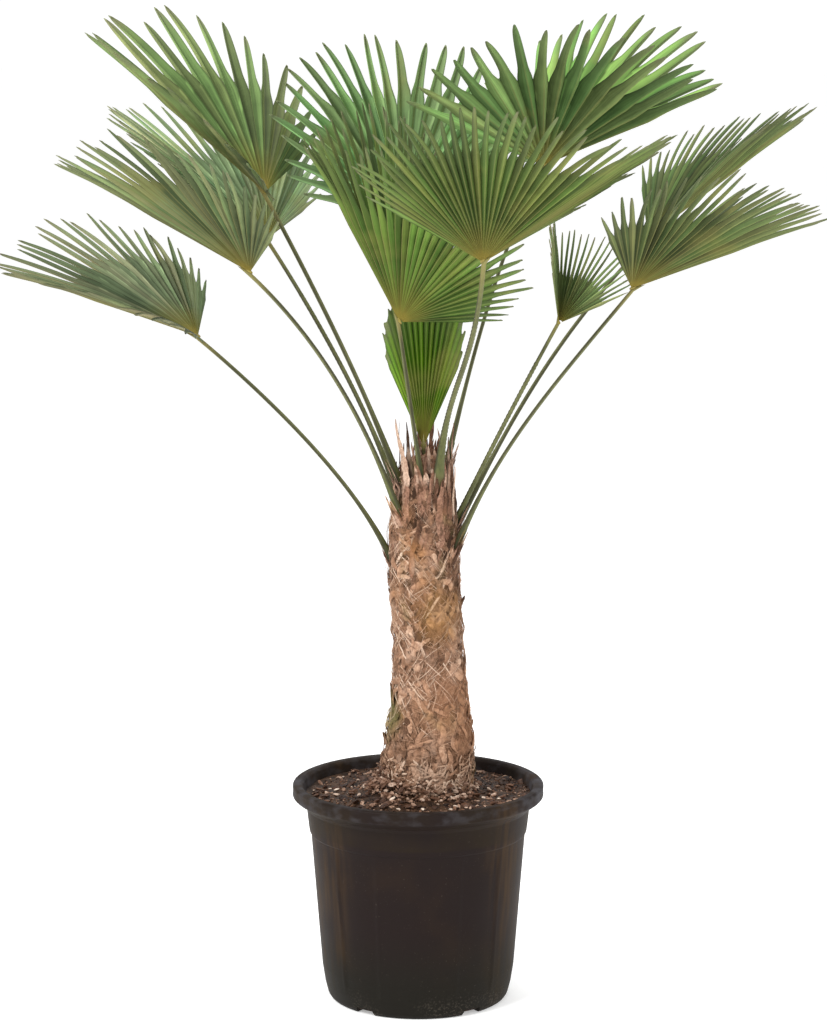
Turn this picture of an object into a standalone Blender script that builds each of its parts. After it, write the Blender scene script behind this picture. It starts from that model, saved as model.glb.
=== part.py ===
"""Potted windmill palm: a nursery pot filled with soil, a fibrous trunk and twelve pleated fan fronds.

Metres, +Z up, +X right, the front looks along +Y. The origin is the centre of the pot's underside.
"""
import math
import random
from dataclasses import dataclass

import bmesh
import bpy
from mathutils import Vector, noise

# Pot: turned wall with a lip, a stacking shoulder and a rounded foot
POT_HEIGHT = 0.330
LIP_RADIUS = 0.190
LIP_DEPTH = 0.018
NECK_RADIUS = 0.169
NECK_HEIGHT = 0.294
SHOULDER_HEIGHT = 0.257
SHOULDER_RADIUS = 0.1645
SHOULDER_STEP = 0.0022
FOOT_RADIUS = 0.146
FOOT_HEIGHT = 0.050
BASE_RADIUS = 0.1335
WALL = 0.0032
FLOOR = 0.005
POT_SEGMENTS = 48
DRAINS = 5
DRAIN_WIDTH = 0.036
DRAIN_HEIGHT = 0.009
DRAIN_INNER_RADIUS = 0.112

# Fit between touching pieces
GAP = 0.0003

# Soil: fills the pot to a little below the lip and is heaped round the trunk
SOIL_EDGE_HEIGHT = 0.313
SOIL_HEAP = 0.014
SOIL_LUMP = 0.004
SOIL_RINGS = (0.160, 0.135, 0.105, 0.075)
HOLE_TOP = 0.400
HOLE_EASE = 0.0004

# Trunk: radii by height, plain below the soil's surface and rough above it
TRUNK_X = 0.014
TRUNK_SEGMENTS = 24
PLAIN_FOOT_TOP = 0.338
TRUNK_PROFILE = (
    (0.215, 0.056),
    (0.270, 0.061),
    (0.338, 0.066),
    (0.380, 0.067),
    (0.410, 0.064),
    (0.440, 0.058),
    (0.470, 0.054),
    (0.540, 0.051),
    (0.620, 0.050),
    (0.680, 0.050),
    (0.730, 0.047),
    (0.780, 0.040),
    (0.805, 0.034),
    (0.822, 0.025),
    (0.829, 0.012),
)
TRUNK_LEAN = (
    (0.338, 0.0140),
    (0.400, 0.0165),
    (0.460, 0.0175),
    (0.540, 0.0155),
    (0.620, 0.0110),
    (0.700, 0.0075),
    (0.780, 0.0095),
    (0.830, 0.0110),
)
RING_STEP = 0.019
TRUNK_ROUGHNESS = 0.0042
TRUNK_WEAVE = 0.0016

# Old leaf bases: height, bearing in degrees, length, lean off the trunk in degrees
STUBS = (
    (0.395, 178, 0.026, 24),
    (0.415, 5, 0.024, 24),
    (0.470, 186, 0.034, 24),
    (0.450, 300, 0.026, 24),
    (0.525, 172, 0.022, 24),
    (0.505, 60, 0.028, 24),
    (0.560, 255, 0.026, 24),
    (0.585, 120, 0.028, 24),
    (0.600, 358, 0.040, 24),
    (0.615, 184, 0.034, 24),
    (0.540, 330, 0.022, 24),
    (0.440, 100, 0.026, 24),
    (0.430, 240, 0.026, 24),
    (0.640, 285, 0.024, 24),
    (0.650, 75, 0.024, 24),
    (0.447, 193, 0.072, 7),
    (0.492, 351, 0.078, 6),
    (0.418, 353, 0.040, 8),
)
STUB_WIDTH = 0.011

# Fronds: leaf stalks and pleated fans
STALK_ROOT_RADIUS = 0.0085
STALK_RADIUS = 0.0048
STALK_NECK_RADIUS = 0.0040
STALK_STEPS = 12
STALK_OVERRUN = 0.020
BLADE_THICKNESS = 0.0017
PLEAT = 0.36
BLADE_SHOULDER = 0.80
BLADE_WAIST = 0.50
SHORTENING_POWER = 3.5
RIM_SOFTNESS = 0.01
DROOP = 0.026


@dataclass(frozen=True)
class Frond:
    """One frond: four controls of the stalk's curve, the last of them the hub, and the fan's turn and size."""

    name: str
    root: tuple
    knee: tuple
    neck: tuple
    hub: tuple
    azimuth: float
    lift: float
    roll: float
    cup: float
    reach: float
    spread: float
    taper: float
    split: float
    blades: int = 30
    pleat: float = PLEAT


FRONDS = (
    Frond("frond_left_top", (-0.012, -0.008, 0.745), (-0.071, -0.005, 0.922), (-0.150, 0.009, 1.066),
          (-0.225, 0.002, 1.220), 184, 44.5, -15, 22, 0.349, 94, 0.41, 0.54),
    Frond("frond_left_mid", (-0.015, -0.020, 0.705), (-0.067, -0.050, 0.869), (-0.127, -0.146, 0.999),
          (-0.240, -0.150, 1.115), 182, 31.5, 13.5, 18, 0.324, 90, 0.41, 0.50),
    Frond("frond_left_low", (-0.024, 0.000, 0.633), (-0.071, -0.003, 0.771), (-0.205, 0.018, 0.895),
          (-0.326, 0.001, 1.008), 187, 22, -11, 19, 0.319, 90, 0.44, 0.52),
    Frond("frond_left_back", (-0.015, 0.020, 0.721), (-0.068, 0.056, 0.885), (-0.140, 0.126, 0.996),
          (-0.230, 0.175, 1.140), 153, 39.5, -4.5, 22, 0.325, 83, 0.58, 0.50),
    Frond("frond_back_top", (0.010, 0.025, 0.792), (-0.002, 0.070, 0.920), (-0.013, 0.103, 1.060),
          (-0.021, 0.146, 1.177), 108, 65.5, 8, 18, 0.308, 91, 0.41, 0.62),
    Frond("frond_right_top", (0.032, 0.000, 0.774), (0.072, 0.012, 0.942), (0.120, 0.060, 1.135),
          (0.185, 0.046, 1.257), -23.5, 24, 3.5, 48, 0.303, 100, 0.18, 0.50),
    Frond("frond_front_right", (0.029, -0.030, 0.767), (0.033, -0.079, 0.952), (0.080, -0.213, 0.962),
          (0.089, -0.295, 1.141), -48, 32, -8, 29, 0.331, 91, 0.37, 0.55),
    Frond("frond_front_centre", (0.009, -0.030, 0.767), (-0.002, -0.049, 0.850), (-0.018, -0.040, 0.946),
          (-0.027, -0.070, 1.036), -136.5, 57, -28.5, 52, 0.328, 100, 0.53, 0.42),
    Frond("frond_right_back", (0.036, 0.020, 0.675), (0.135, 0.050, 0.870), (0.201, 0.155, 0.979),
          (0.353, 0.190, 1.139), 16, 37, -5.5, 21, 0.326, 63, 0.30, 0.52, 26),
    Frond("frond_right_low", (0.040, -0.005, 0.642), (0.099, -0.042, 0.840), (0.214, -0.098, 0.962),
          (0.306, -0.130, 1.090), -11, 22, -7, 31, 0.301, 86, 0.34, 0.50),
    Frond("frond_right_small", (0.040, 0.005, 0.693), (0.077, 0.005, 0.778), (0.156, -0.055, 0.945),
          (0.208, 0.000, 1.027), 87, 57, 32, 55.5, 0.162, 76, 0.33, 0.42, 26),
    Frond("frond_spear", (0.012, 0.000, 0.780), (0.011, 0.000, 0.805), (0.009, 0.000, 0.825),
          (0.008, 0.000, 0.843), -90, 92, 0, 20, 0.260, 27, 0.46, 0.55, 14, 0.80),
)


def fresh_scene():
    """Empty the scene and return one collection for the palm and one for its cutters."""
    for old in list(bpy.data.objects):
        bpy.data.objects.remove(old, do_unlink=True)
    palm = bpy.data.collections.new("potted_windmill_palm")
    cutters = bpy.data.collections.new("cutters")
    for group in (palm, cutters):
        bpy.context.scene.collection.children.link(group)
    cutters.hide_render = True
    return palm, cutters


def finish(name, colour, roughness, metallic=0.0):
    """Return a plain material with one colour, roughness and metallic value."""
    material = bpy.data.materials.new(name)
    material.use_nodes = True
    shader = material.node_tree.nodes["Principled BSDF"]
    shader.inputs["Base Color"].default_value = (*colour, 1.0)
    shader.inputs["Roughness"].default_value = roughness
    shader.inputs["Metallic"].default_value = metallic
    material.diffuse_color = (*colour, 1.0)
    return material


def object_from(bm, name, group, smooth=False):
    """Turn the mesh in hand into a named object with outward faces."""
    bmesh.ops.recalc_face_normals(bm, faces=bm.faces[:])
    mesh = bpy.data.meshes.new(name)
    bm.to_mesh(mesh)
    bm.free()
    for polygon in mesh.polygons:
        polygon.use_smooth = smooth
    thing = bpy.data.objects.new(name, mesh)
    group.objects.link(thing)
    return thing


def apply_modifiers(thing):
    """Bake the live modifiers of an object into its mesh."""
    graph = bpy.context.evaluated_depsgraph_get()
    baked = bpy.data.meshes.new_from_object(thing.evaluated_get(graph))
    thing.modifiers.clear()
    thing.data = baked
    baked.name = thing.name


def boolean(thing, operation, other):
    """Join or cut an object with one other object, which is then removed."""
    step = thing.modifiers.new(operation.lower(), "BOOLEAN")
    step.operation = operation
    step.solver = "EXACT"
    step.object = other
    apply_modifiers(thing)
    bpy.data.objects.remove(other, do_unlink=True)


def boolean_group(thing, operation, group):
    """Join or cut an object with every object of a collection, which are then removed."""
    step = thing.modifiers.new(operation.lower(), "BOOLEAN")
    step.operation = operation
    step.solver = "EXACT"
    step.operand_type = "COLLECTION"
    step.collection = group
    apply_modifiers(thing)
    for other in list(group.objects):
        bpy.data.objects.remove(other, do_unlink=True)


def turned(name, profile, group, segments):
    """Turn an open profile of (radius, height) pairs about the Z axis into a closed solid."""
    mesh = bpy.data.meshes.new(name)
    mesh.from_pydata([(r, 0.0, z) for r, z in profile], [(i, i + 1) for i in range(len(profile) - 1)], [])
    thing = bpy.data.objects.new(name, mesh)
    group.objects.link(thing)
    turn = thing.modifiers.new("turn", "SCREW")
    turn.axis = "Z"
    turn.angle = math.tau
    turn.steps = segments
    turn.render_steps = segments
    turn.use_merge_vertices = True
    turn.merge_threshold = 0.0001
    turn.use_smooth_shade = True
    apply_modifiers(thing)
    return thing


def inner_wall():
    """Return the pot's inner wall from the floor up to the lip, as (radius, height) pairs."""
    return (
        (BASE_RADIUS - 0.001, FLOOR),
        (FOOT_RADIUS - WALL - 0.003, FLOOR + 0.018),
        (FOOT_RADIUS - WALL, FOOT_HEIGHT),
        (SHOULDER_RADIUS - SHOULDER_STEP - WALL, SHOULDER_HEIGHT - 0.002),
        (NECK_RADIUS - WALL, NECK_HEIGHT + 0.002),
        (NECK_RADIUS + 0.005, POT_HEIGHT - 0.004),
    )


def build_pot(group, cutters):
    """Turn the pot and cut its drains through the corner of wall and floor."""
    outer = (
        (NECK_RADIUS + 0.009, POT_HEIGHT),
        (LIP_RADIUS - 0.0025, POT_HEIGHT),
        (LIP_RADIUS, POT_HEIGHT - 0.0025),
        (LIP_RADIUS, POT_HEIGHT - LIP_DEPTH),
        (LIP_RADIUS - 0.003, POT_HEIGHT - LIP_DEPTH - 0.003),
        (NECK_RADIUS, NECK_HEIGHT),
        (SHOULDER_RADIUS, SHOULDER_HEIGHT),
        (SHOULDER_RADIUS - SHOULDER_STEP, SHOULDER_HEIGHT - 0.002),
        (FOOT_RADIUS, FOOT_HEIGHT),
        (FOOT_RADIUS - 0.004, FOOT_HEIGHT - 0.027),
        (BASE_RADIUS + 0.004, 0.006),
        (BASE_RADIUS, 0.0),
    )
    profile = ((0.0, FLOOR), *inner_wall(), *outer, (0.0, 0.0))
    pot = turned("pot", profile, group, POT_SEGMENTS)
    for number in range(DRAINS):
        bearing = math.radians(-90.0 + (number + 0.5) * 360.0 / DRAINS)
        bm = bmesh.new()
        bmesh.ops.create_cube(bm, size=1.0)
        depth = FOOT_RADIUS + 0.02 - DRAIN_INNER_RADIUS
        bmesh.ops.scale(bm, vec=(depth, DRAIN_WIDTH, 2.0 * DRAIN_HEIGHT), verts=bm.verts)
        bmesh.ops.translate(bm, vec=(DRAIN_INNER_RADIUS + depth / 2.0, 0.0, 0.0), verts=bm.verts)
        for vert in bm.verts:
            if vert.co.z > 0.0:
                vert.co.y *= 0.8
        turn = Vector((math.cos(bearing), math.sin(bearing), 0.0))
        side = Vector((-turn.y, turn.x, 0.0))
        for vert in bm.verts:
            vert.co = turn * vert.co.x + side * vert.co.y + Vector((0.0, 0.0, vert.co.z))
        cutter = object_from(bm, "drain", cutters)
        cutter.display_type = "WIRE"
    boolean_group(pot, "DIFFERENCE", cutters)
    return pot


def build_soil(group, cutters):
    """Turn the soil to the pot's inner wall, roughen its top and sink the trunk's hole."""
    wall = [(radius - GAP, max(height, FLOOR + GAP)) for radius, height in inner_wall()[:5]]
    low, high = inner_wall()[4], inner_wall()[5]
    share = (SOIL_EDGE_HEIGHT - low[1]) / (high[1] - low[1])
    wall.append((low[0] + share * (high[0] - low[0]) - GAP, SOIL_EDGE_HEIGHT))
    top = [(radius, SOIL_EDGE_HEIGHT) for radius in SOIL_RINGS]
    upward = [(0.0, FLOOR + GAP), *wall, *top, (0.0, SOIL_EDGE_HEIGHT)]
    soil = turned("soil", upward[::-1], group, POT_SEGMENTS)
    for vert in soil.data.vertices:
        radius = math.hypot(vert.co.x, vert.co.y)
        if vert.co.z > SOIL_EDGE_HEIGHT - 0.001 and radius < SOIL_RINGS[0] + 0.002:
            heap = SOIL_HEAP * math.exp(-((radius / 0.095) ** 4))
            lump = SOIL_LUMP * noise.noise(Vector((vert.co.x, vert.co.y, 0.3)) * 34.0)
            vert.co.z += heap + lump
    bottom = TRUNK_PROFILE[0][0] - GAP
    mouth = (foot_radius(HOLE_TOP) + HOLE_EASE, HOLE_TOP)
    toe = (foot_radius(bottom) + HOLE_EASE, bottom)
    hole = turned("hole", [(0.0, HOLE_TOP), mouth, toe, (0.0, bottom)], cutters, TRUNK_SEGMENTS)
    for vert in hole.data.vertices:
        vert.co.x += TRUNK_X
    boolean(soil, "DIFFERENCE", hole)
    return soil


def foot_radius(height):
    """Return the radius of the trunk's plain foot, a straight cone, at a height."""
    low, high = TRUNK_PROFILE[0], TRUNK_PROFILE[2]
    share = (height - low[0]) / (high[0] - low[0])
    return low[1] + max(0.0, share) * (high[1] - low[1])


def trunk_radius(height):
    """Return the trunk's mean radius at a height."""
    if height <= PLAIN_FOOT_TOP:
        return foot_radius(height)
    for low, high in zip(TRUNK_PROFILE, TRUNK_PROFILE[1:]):
        if low[0] <= height <= high[0]:
            share = (height - low[0]) / (high[0] - low[0])
            return low[1] + share * (high[1] - low[1])
    return TRUNK_PROFILE[-1][1]


def trunk_axis(height):
    """Return the point of the trunk's slightly leaning axis at a height."""
    offset = TRUNK_LEAN[0][1]
    for low, high in zip(TRUNK_LEAN, TRUNK_LEAN[1:]):
        share = min(1.0, max(0.0, (height - low[0]) / (high[0] - low[0])))
        offset += share * (high[1] - low[1])
    return Vector((offset, 0.0, height))


def trunk_point(bearing, height):
    """Return a point of the trunk's rough surface at a bearing and height."""
    radius = trunk_radius(height)
    rough = min(1.0, max(0.0, (height - PLAIN_FOOT_TOP) / 0.03)) * min(1.0, radius / 0.03)
    way = Vector((math.cos(bearing), math.sin(bearing), 0.0))
    bump = noise.noise(Vector((way.x * 2.1, way.y * 2.1, height * 34.0)))
    weave = abs(math.sin(4.0 * bearing + height * 75.0)) + abs(math.sin(4.0 * bearing - height * 75.0)) - 1.0
    radius += rough * (TRUNK_ROUGHNESS * bump + TRUNK_WEAVE * weave)
    return trunk_axis(height) + way * radius


def build_trunk(group, cutters):
    """Wrap a grid round the trunk's axis, close it at both poles and join the old leaf bases to it."""
    foot, crown = TRUNK_PROFILE[0][0], TRUNK_PROFILE[-1][0]
    heights = [foot, foot, PLAIN_FOOT_TOP]
    rings = round((crown - PLAIN_FOOT_TOP) / RING_STEP)
    heights += [PLAIN_FOOT_TOP + (crown - PLAIN_FOOT_TOP) * (ring + 1) / rings for ring in range(rings)]
    heights.append(crown + 0.004)
    last = len(heights) - 1
    bm = bmesh.new()
    bmesh.ops.create_grid(bm, x_segments=TRUNK_SEGMENTS, y_segments=last, size=0.5)
    for vert in bm.verts:
        column = round((vert.co.x + 0.5) * TRUNK_SEGMENTS) % TRUNK_SEGMENTS
        row = round((vert.co.y + 0.5) * last)
        if row in (0, last):
            vert.co = trunk_axis(heights[row])
        else:
            vert.co = trunk_point(math.tau * column / TRUNK_SEGMENTS, heights[row])
    bmesh.ops.remove_doubles(bm, verts=bm.verts, dist=0.00001)
    bmesh.ops.triangulate(bm, faces=bm.faces[:])
    trunk = object_from(bm, "trunk", group)
    draws = random.Random(7)
    for height, degrees, length, tilt in STUBS:
        bm = bmesh.new()
        bmesh.ops.create_cone(bm, cap_ends=True, segments=5, radius1=STUB_WIDTH,
                              radius2=STUB_WIDTH * 0.30, depth=length)
        bearing = math.radians(degrees + draws.uniform(-4.0, 4.0))
        lean = math.radians(tilt + draws.uniform(-3.0, 3.0))
        way = Vector((math.cos(bearing), math.sin(bearing), 0.0))
        along = way * math.sin(lean) + Vector((0.0, 0.0, math.cos(lean)))
        across = Vector((-way.y, way.x, 0.0))
        depth = across.cross(along)
        middle = trunk_axis(height) + way * (trunk_radius(height) - 0.001)
        for vert in bm.verts:
            vert.co = middle + across * vert.co.x + depth * (vert.co.y * 0.45) + along * vert.co.z
        object_from(bm, "stub", cutters)
    boolean_group(trunk, "UNION", cutters)
    return trunk


def grown_copy(thing, group, amount):
    """Return a copy of a solid with its faces moved outward, for cutting its neighbours to fit."""
    copy = bpy.data.objects.new(thing.name + "_grown", thing.data.copy())
    group.objects.link(copy)
    bm = bmesh.new()
    bm.from_mesh(copy.data)
    moves = [(vert, vert.normal.copy(), vert.calc_shell_factor()) for vert in bm.verts]
    for vert, way, factor in moves:
        vert.co += way * amount * min(factor, 1.8)
    bm.to_mesh(copy.data)
    bm.free()
    copy.display_type = "WIRE"
    return copy


def fan_axes(frond):
    """Return the fan's axis, its sideways direction and the normal of its upper face."""
    azimuth, lift, roll = (math.radians(value) for value in (frond.azimuth, frond.lift, frond.roll))
    axis = Vector((math.cos(lift) * math.cos(azimuth), math.cos(lift) * math.sin(azimuth), math.sin(lift)))
    level = Vector((-math.sin(azimuth), math.cos(azimuth), 0.0))
    upper = axis.cross(level)
    side = level * math.cos(roll) + upper * math.sin(roll)
    normal = upper * math.cos(roll) - level * math.sin(roll)
    return axis, side, normal


def blade_reach(frond, angle):
    """Return how far a blade at an angle from the fan's axis reaches from the hub."""
    share = abs(angle) / math.radians(frond.spread)
    return frond.reach * (1.0 - frond.taper * min(share, 1.0) ** SHORTENING_POWER)


def fan_point(frond, axes, angle, radius, rise):
    """Return a point of the cupped, drooping fan, lifted off its mean surface by a rise."""
    axis, side, normal = axes
    cup = math.radians(frond.cup)
    sideways = math.sin(angle)
    folded = math.sqrt(sideways * sideways + RIM_SOFTNESS) - math.sqrt(RIM_SOFTNESS)
    way = axis * math.cos(angle) + side * (sideways * math.cos(cup)) + normal * (folded * math.sin(cup))
    drop = DROOP * frond.reach * (radius / frond.reach) ** 2.5
    return Vector(frond.hub) + way.normalized() * radius + normal * rise - Vector((0.0, 0.0, drop))


def build_fan(frond, cutters):
    """Lay one grid a blade, weld the blades to each other up to where they part, and thicken the fan."""
    axes = fan_axes(frond)
    half = math.radians(frond.spread) / frond.blades
    first = -math.radians(frond.spread)
    draws = random.Random(frond.name)
    parting = []
    for edge in range(frond.blades + 1):
        limit = 0.66 * blade_reach(frond, first + 2.0 * half * edge)
        parting.append(min(limit, frond.reach * frond.split * draws.uniform(0.93, 1.07)))
    bm = bmesh.new()
    for number in range(frond.blades):
        centre = first + half * (2 * number + 1)
        reach = blade_reach(frond, centre) * draws.uniform(0.96, 1.02)
        parted = (parting[number] + parting[number + 1]) / 2.0
        width = parted * half
        shoulder = parted + (reach - parted) * BLADE_SHOULDER
        waist = BLADE_WAIST * width / shoulder
        fold = frond.pleat * width
        blade = bmesh.new()
        bmesh.ops.create_grid(blade, x_segments=2, y_segments=3, size=0.5)
        for vert in blade.verts:
            column = round(vert.co.x * 2.0)
            row = round((vert.co.y + 0.5) * 3.0)
            if row == 0:
                vert.co = Vector(frond.hub)
            elif row == 1:
                radius = parted if column == 0 else parting[number + (column + 1) // 2]
                rise = -fold if column == 0 else frond.pleat * radius * half
                vert.co = fan_point(frond, axes, centre + column * half, radius, rise)
            elif row == 2:
                rise = -0.5 * fold if column == 0 else 0.6 * fold
                vert.co = fan_point(frond, axes, centre + column * waist, shoulder, rise)
            else:
                vert.co = fan_point(frond, axes, centre, reach, 0.0)
        spare = bpy.data.meshes.new("blade")
        blade.to_mesh(spare)
        blade.free()
        bm.from_mesh(spare)
        bpy.data.meshes.remove(spare)
    bmesh.ops.remove_doubles(bm, verts=bm.verts, dist=0.00001)
    bmesh.ops.triangulate(bm, faces=bm.faces[:])
    lower = bmesh.ops.extrude_face_region(bm, geom=bm.faces[:])
    moved = [item for item in lower["geom"] if isinstance(item, bmesh.types.BMVert)]
    bmesh.ops.translate(bm, vec=axes[2] * -BLADE_THICKNESS, verts=moved)
    return object_from(bm, "fan", cutters)


def stalk_point(frond, share):
    """Return a point of the stalk's cubic curve, from its root to the hub."""
    rest = 1.0 - share
    parts = (rest ** 3, 3.0 * rest * rest * share, 3.0 * rest * share * share, share ** 3)
    controls = (frond.root, frond.knee, frond.neck, frond.hub)
    return sum((Vector(point) * weight for point, weight in zip(controls, parts)), Vector())


def build_frond(frond, group, cutters, trunk):
    """Sweep the stalk, join it to its fan and trim its root to the trunk's surface."""
    axis, _, normal = fan_axes(frond)
    curve = bpy.data.curves.new(frond.name, "CURVE")
    curve.dimensions = "3D"
    curve.bevel_depth = 1.0
    curve.bevel_resolution = 1
    curve.use_fill_caps = True
    line = curve.splines.new("POLY")
    line.points.add(STALK_STEPS)
    size = frond.reach / FRONDS[0].reach
    size = max(0.75, min(1.0, size))
    for number, point in enumerate(line.points):
        share = number / (STALK_STEPS - 1)
        if number < STALK_STEPS:
            place = stalk_point(frond, share) - normal * (0.003 * share ** 8)
            thick = STALK_NECK_RADIUS + (STALK_RADIUS - STALK_NECK_RADIUS) * (1.0 - share)
            thick += (STALK_ROOT_RADIUS - STALK_RADIUS) * max(0.0, 1.0 - share / 0.35) ** 1.5
        else:
            place = Vector(frond.hub) + axis * STALK_OVERRUN - normal * 0.0015
            thick = STALK_NECK_RADIUS * 0.5
        point.co = (*place, 1.0)
        point.radius = thick * size
    wire = bpy.data.objects.new(frond.name, curve)
    group.objects.link(wire)
    graph = bpy.context.evaluated_depsgraph_get()
    bm = bmesh.new()
    bm.from_mesh(bpy.data.meshes.new_from_object(wire.evaluated_get(graph)))
    bpy.data.objects.remove(wire, do_unlink=True)
    bmesh.ops.remove_doubles(bm, verts=bm.verts, dist=0.00001)
    stalk = object_from(bm, frond.name, group)
    boolean(stalk, "UNION", build_fan(frond, cutters))
    boolean(stalk, "DIFFERENCE", grown_copy(trunk, cutters, GAP))
    return stalk


def main():
    """Build the pot, the soil, the trunk and the fronds, each with its finish."""
    palm, cutters = fresh_scene()
    pot = build_pot(palm, cutters)
    soil = build_soil(palm, cutters)
    trunk = build_trunk(palm, cutters)
    pot.data.materials.append(finish("black_plastic", (0.030, 0.028, 0.029), 0.5))
    soil.data.materials.append(finish("potting_soil", (0.060, 0.038, 0.024), 0.95))
    trunk.data.materials.append(finish("trunk_fibre", (0.33, 0.20, 0.13), 0.9))
    leaf = finish("leaf_green", (0.085, 0.17, 0.045), 0.55)
    young = finish("young_leaf_green", (0.12, 0.27, 0.04), 0.5)
    for frond in FRONDS:
        built = build_frond(frond, palm, cutters, trunk)
        built.data.materials.clear()
        built.data.materials.append(young if frond.name == "frond_spear" else leaf)
    bpy.data.collections.remove(cutters)


main()
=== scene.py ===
"""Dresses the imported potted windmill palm: pot, soil, fibrous trunk, crown fibre and pleated fan fronds.

Metres, +Z up, and the camera looks along +Y. The origin is the centre of the pot's underside, as in the
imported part.
"""

import logging
import math
import random
from collections.abc import Callable, Iterator, Sequence
from contextlib import contextmanager
from dataclasses import dataclass, field
from enum import Enum

import bpy
import numpy as np
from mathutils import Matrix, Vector, noise


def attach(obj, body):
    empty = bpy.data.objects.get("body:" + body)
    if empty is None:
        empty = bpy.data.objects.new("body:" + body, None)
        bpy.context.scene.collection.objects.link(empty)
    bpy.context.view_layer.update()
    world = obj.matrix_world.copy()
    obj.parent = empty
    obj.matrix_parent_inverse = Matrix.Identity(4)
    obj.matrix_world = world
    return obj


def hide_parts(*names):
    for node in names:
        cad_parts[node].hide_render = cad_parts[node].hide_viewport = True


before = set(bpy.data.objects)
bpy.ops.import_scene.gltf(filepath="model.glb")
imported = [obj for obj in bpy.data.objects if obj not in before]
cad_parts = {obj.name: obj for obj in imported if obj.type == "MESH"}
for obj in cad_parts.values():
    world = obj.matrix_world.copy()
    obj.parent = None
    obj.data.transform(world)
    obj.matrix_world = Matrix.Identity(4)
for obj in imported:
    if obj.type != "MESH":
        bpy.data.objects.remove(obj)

LOG = logging.getLogger("windmill_palm")
WELD = 0.000002
ON_AXIS = 0.00001

Colour = tuple[float, float, float]
Span = tuple[float, float]
Spot = tuple[float, float, float]
Stops = tuple[tuple[float, Colour], ...]


class Slot(Enum):
    """The record's material slots."""

    POT = "black_plastic"
    SOIL = "potting_soil"
    TRUNK = "trunk_fibre"
    LEAF = "leaf_green"
    YOUNG = "young_leaf_green"


# Bench: the few tools that every piece is made with


def pick(*things: bpy.types.Object) -> None:
    """Select these objects only, the first of them active."""
    bpy.ops.object.select_all(action="DESELECT")
    for thing in things:
        thing.select_set(True)
    if things:
        bpy.context.view_layer.objects.active = things[0]


def named(name: str) -> bpy.types.Object:
    """Name the active object and its mesh, and return it."""
    thing = bpy.context.object
    thing.name = thing.data.name = name
    return thing


def added(name: str, operator: Callable[..., set], **settings: object) -> bpy.types.Object:
    """Add a primitive mesh.

    Args:
        name: The piece's name.
        operator: The operator that adds it.
        settings: What the operator takes.

    Returns:
        The new object.
    """
    pick()
    operator(**settings)
    bpy.ops.object.transform_apply(location=True, rotation=True, scale=True)
    return named(name)


@contextmanager
def editing(thing: bpy.types.Object) -> Iterator[None]:
    """Hold an object in edit mode with its whole mesh selected."""
    pick(thing)
    bpy.ops.object.mode_set(mode="EDIT")
    bpy.ops.mesh.select_all(action="SELECT")
    yield
    bpy.ops.object.mode_set(mode="OBJECT")


def modify(thing: bpy.types.Object, kind: str, **settings: object) -> None:
    """Add a modifier and apply it.

    Args:
        thing: The mesh object.
        kind: The modifier's type.
        settings: The modifier's properties by name.
    """
    pick(thing)
    step = thing.modifiers.new(kind.lower(), kind)
    for key, value in settings.items():
        setattr(step, key, value)
    bpy.ops.object.modifier_apply(modifier=step.name)


def repeat(thing: bpy.types.Object, count: int, apart: float) -> None:
    """Stack copies of a mesh along Z in the same object."""
    modify(thing, "ARRAY", count=count, use_relative_offset=False, use_constant_offset=True,
           constant_offset_displace=(0.0, 0.0, apart))


def weld(thing: bpy.types.Object, outward: bool = True, distance: float = WELD) -> None:
    """Close a mesh's seams and poles.

    Args:
        thing: The mesh object.
        outward: Whether its faces are then turned outward.
        distance: How near two corners are to be one.
    """
    with editing(thing):
        bpy.ops.mesh.remove_doubles(threshold=distance)
        if outward:
            bpy.ops.mesh.normals_make_consistent(inside=False)


def soften(thing: bpy.types.Object, degrees: float = 40.0) -> None:
    """Shade an object smooth, apart from edges sharper than an angle."""
    pick(thing)
    bpy.ops.object.shade_smooth_by_angle(angle=math.radians(degrees))


def joined(name: str, things: Sequence[bpy.types.Object]) -> bpy.types.Object:
    """Return one piece made of several."""
    pick(*things)
    bpy.ops.object.join()
    return named(name)


def read(items: bpy.types.bpy_prop_collection, name: str, width: int = 1,
         kind: type = np.float32) -> np.ndarray:
    """Return one number or one row of numbers for each item of a mesh.

    Args:
        items: The mesh's corners, faces or attribute values.
        name: The property to read.
        width: How many numbers an item has.
        kind: The numbers' type.

    Returns:
        The numbers, in rows where the width isn't 1.
    """
    values = np.empty(len(items) * width, dtype=kind)
    items.foreach_get(name, values)
    return values if width == 1 else values.reshape(-1, width)


def corners(thing: bpy.types.Object) -> np.ndarray:
    """Return a mesh's corners as rows of x, y and z."""
    return read(thing.data.vertices, "co", 3).astype(float)


def set_corners(thing: bpy.types.Object, places: np.ndarray) -> None:
    """Put a mesh's corners in new places."""
    thing.data.vertices.foreach_set("co", places.astype(np.float32).ravel())
    thing.data.update()


def tag(thing: bpy.types.Object, name: str, values: np.ndarray, domain: str = "POINT") -> None:
    """Store numbers or colours on a mesh for its finish to read.

    Args:
        thing: The mesh object.
        name: The attribute's name.
        values: One number or one colour for each corner or face.
        domain: POINT or FACE.
    """
    coloured = values.ndim == 2
    layer = thing.data.attributes.new(name, "FLOAT_COLOR" if coloured else "FLOAT", domain)
    if coloured:
        values = np.concatenate([values, np.ones((len(values), 1))], axis=1)
    layer.data.foreach_set("color" if coloured else "value", values.astype(np.float32).ravel())


def unit(vectors: np.ndarray) -> np.ndarray:
    """Return vectors at length one."""
    return vectors / np.maximum(np.linalg.norm(vectors, axis=-1, keepdims=True), 1e-12)


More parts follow.
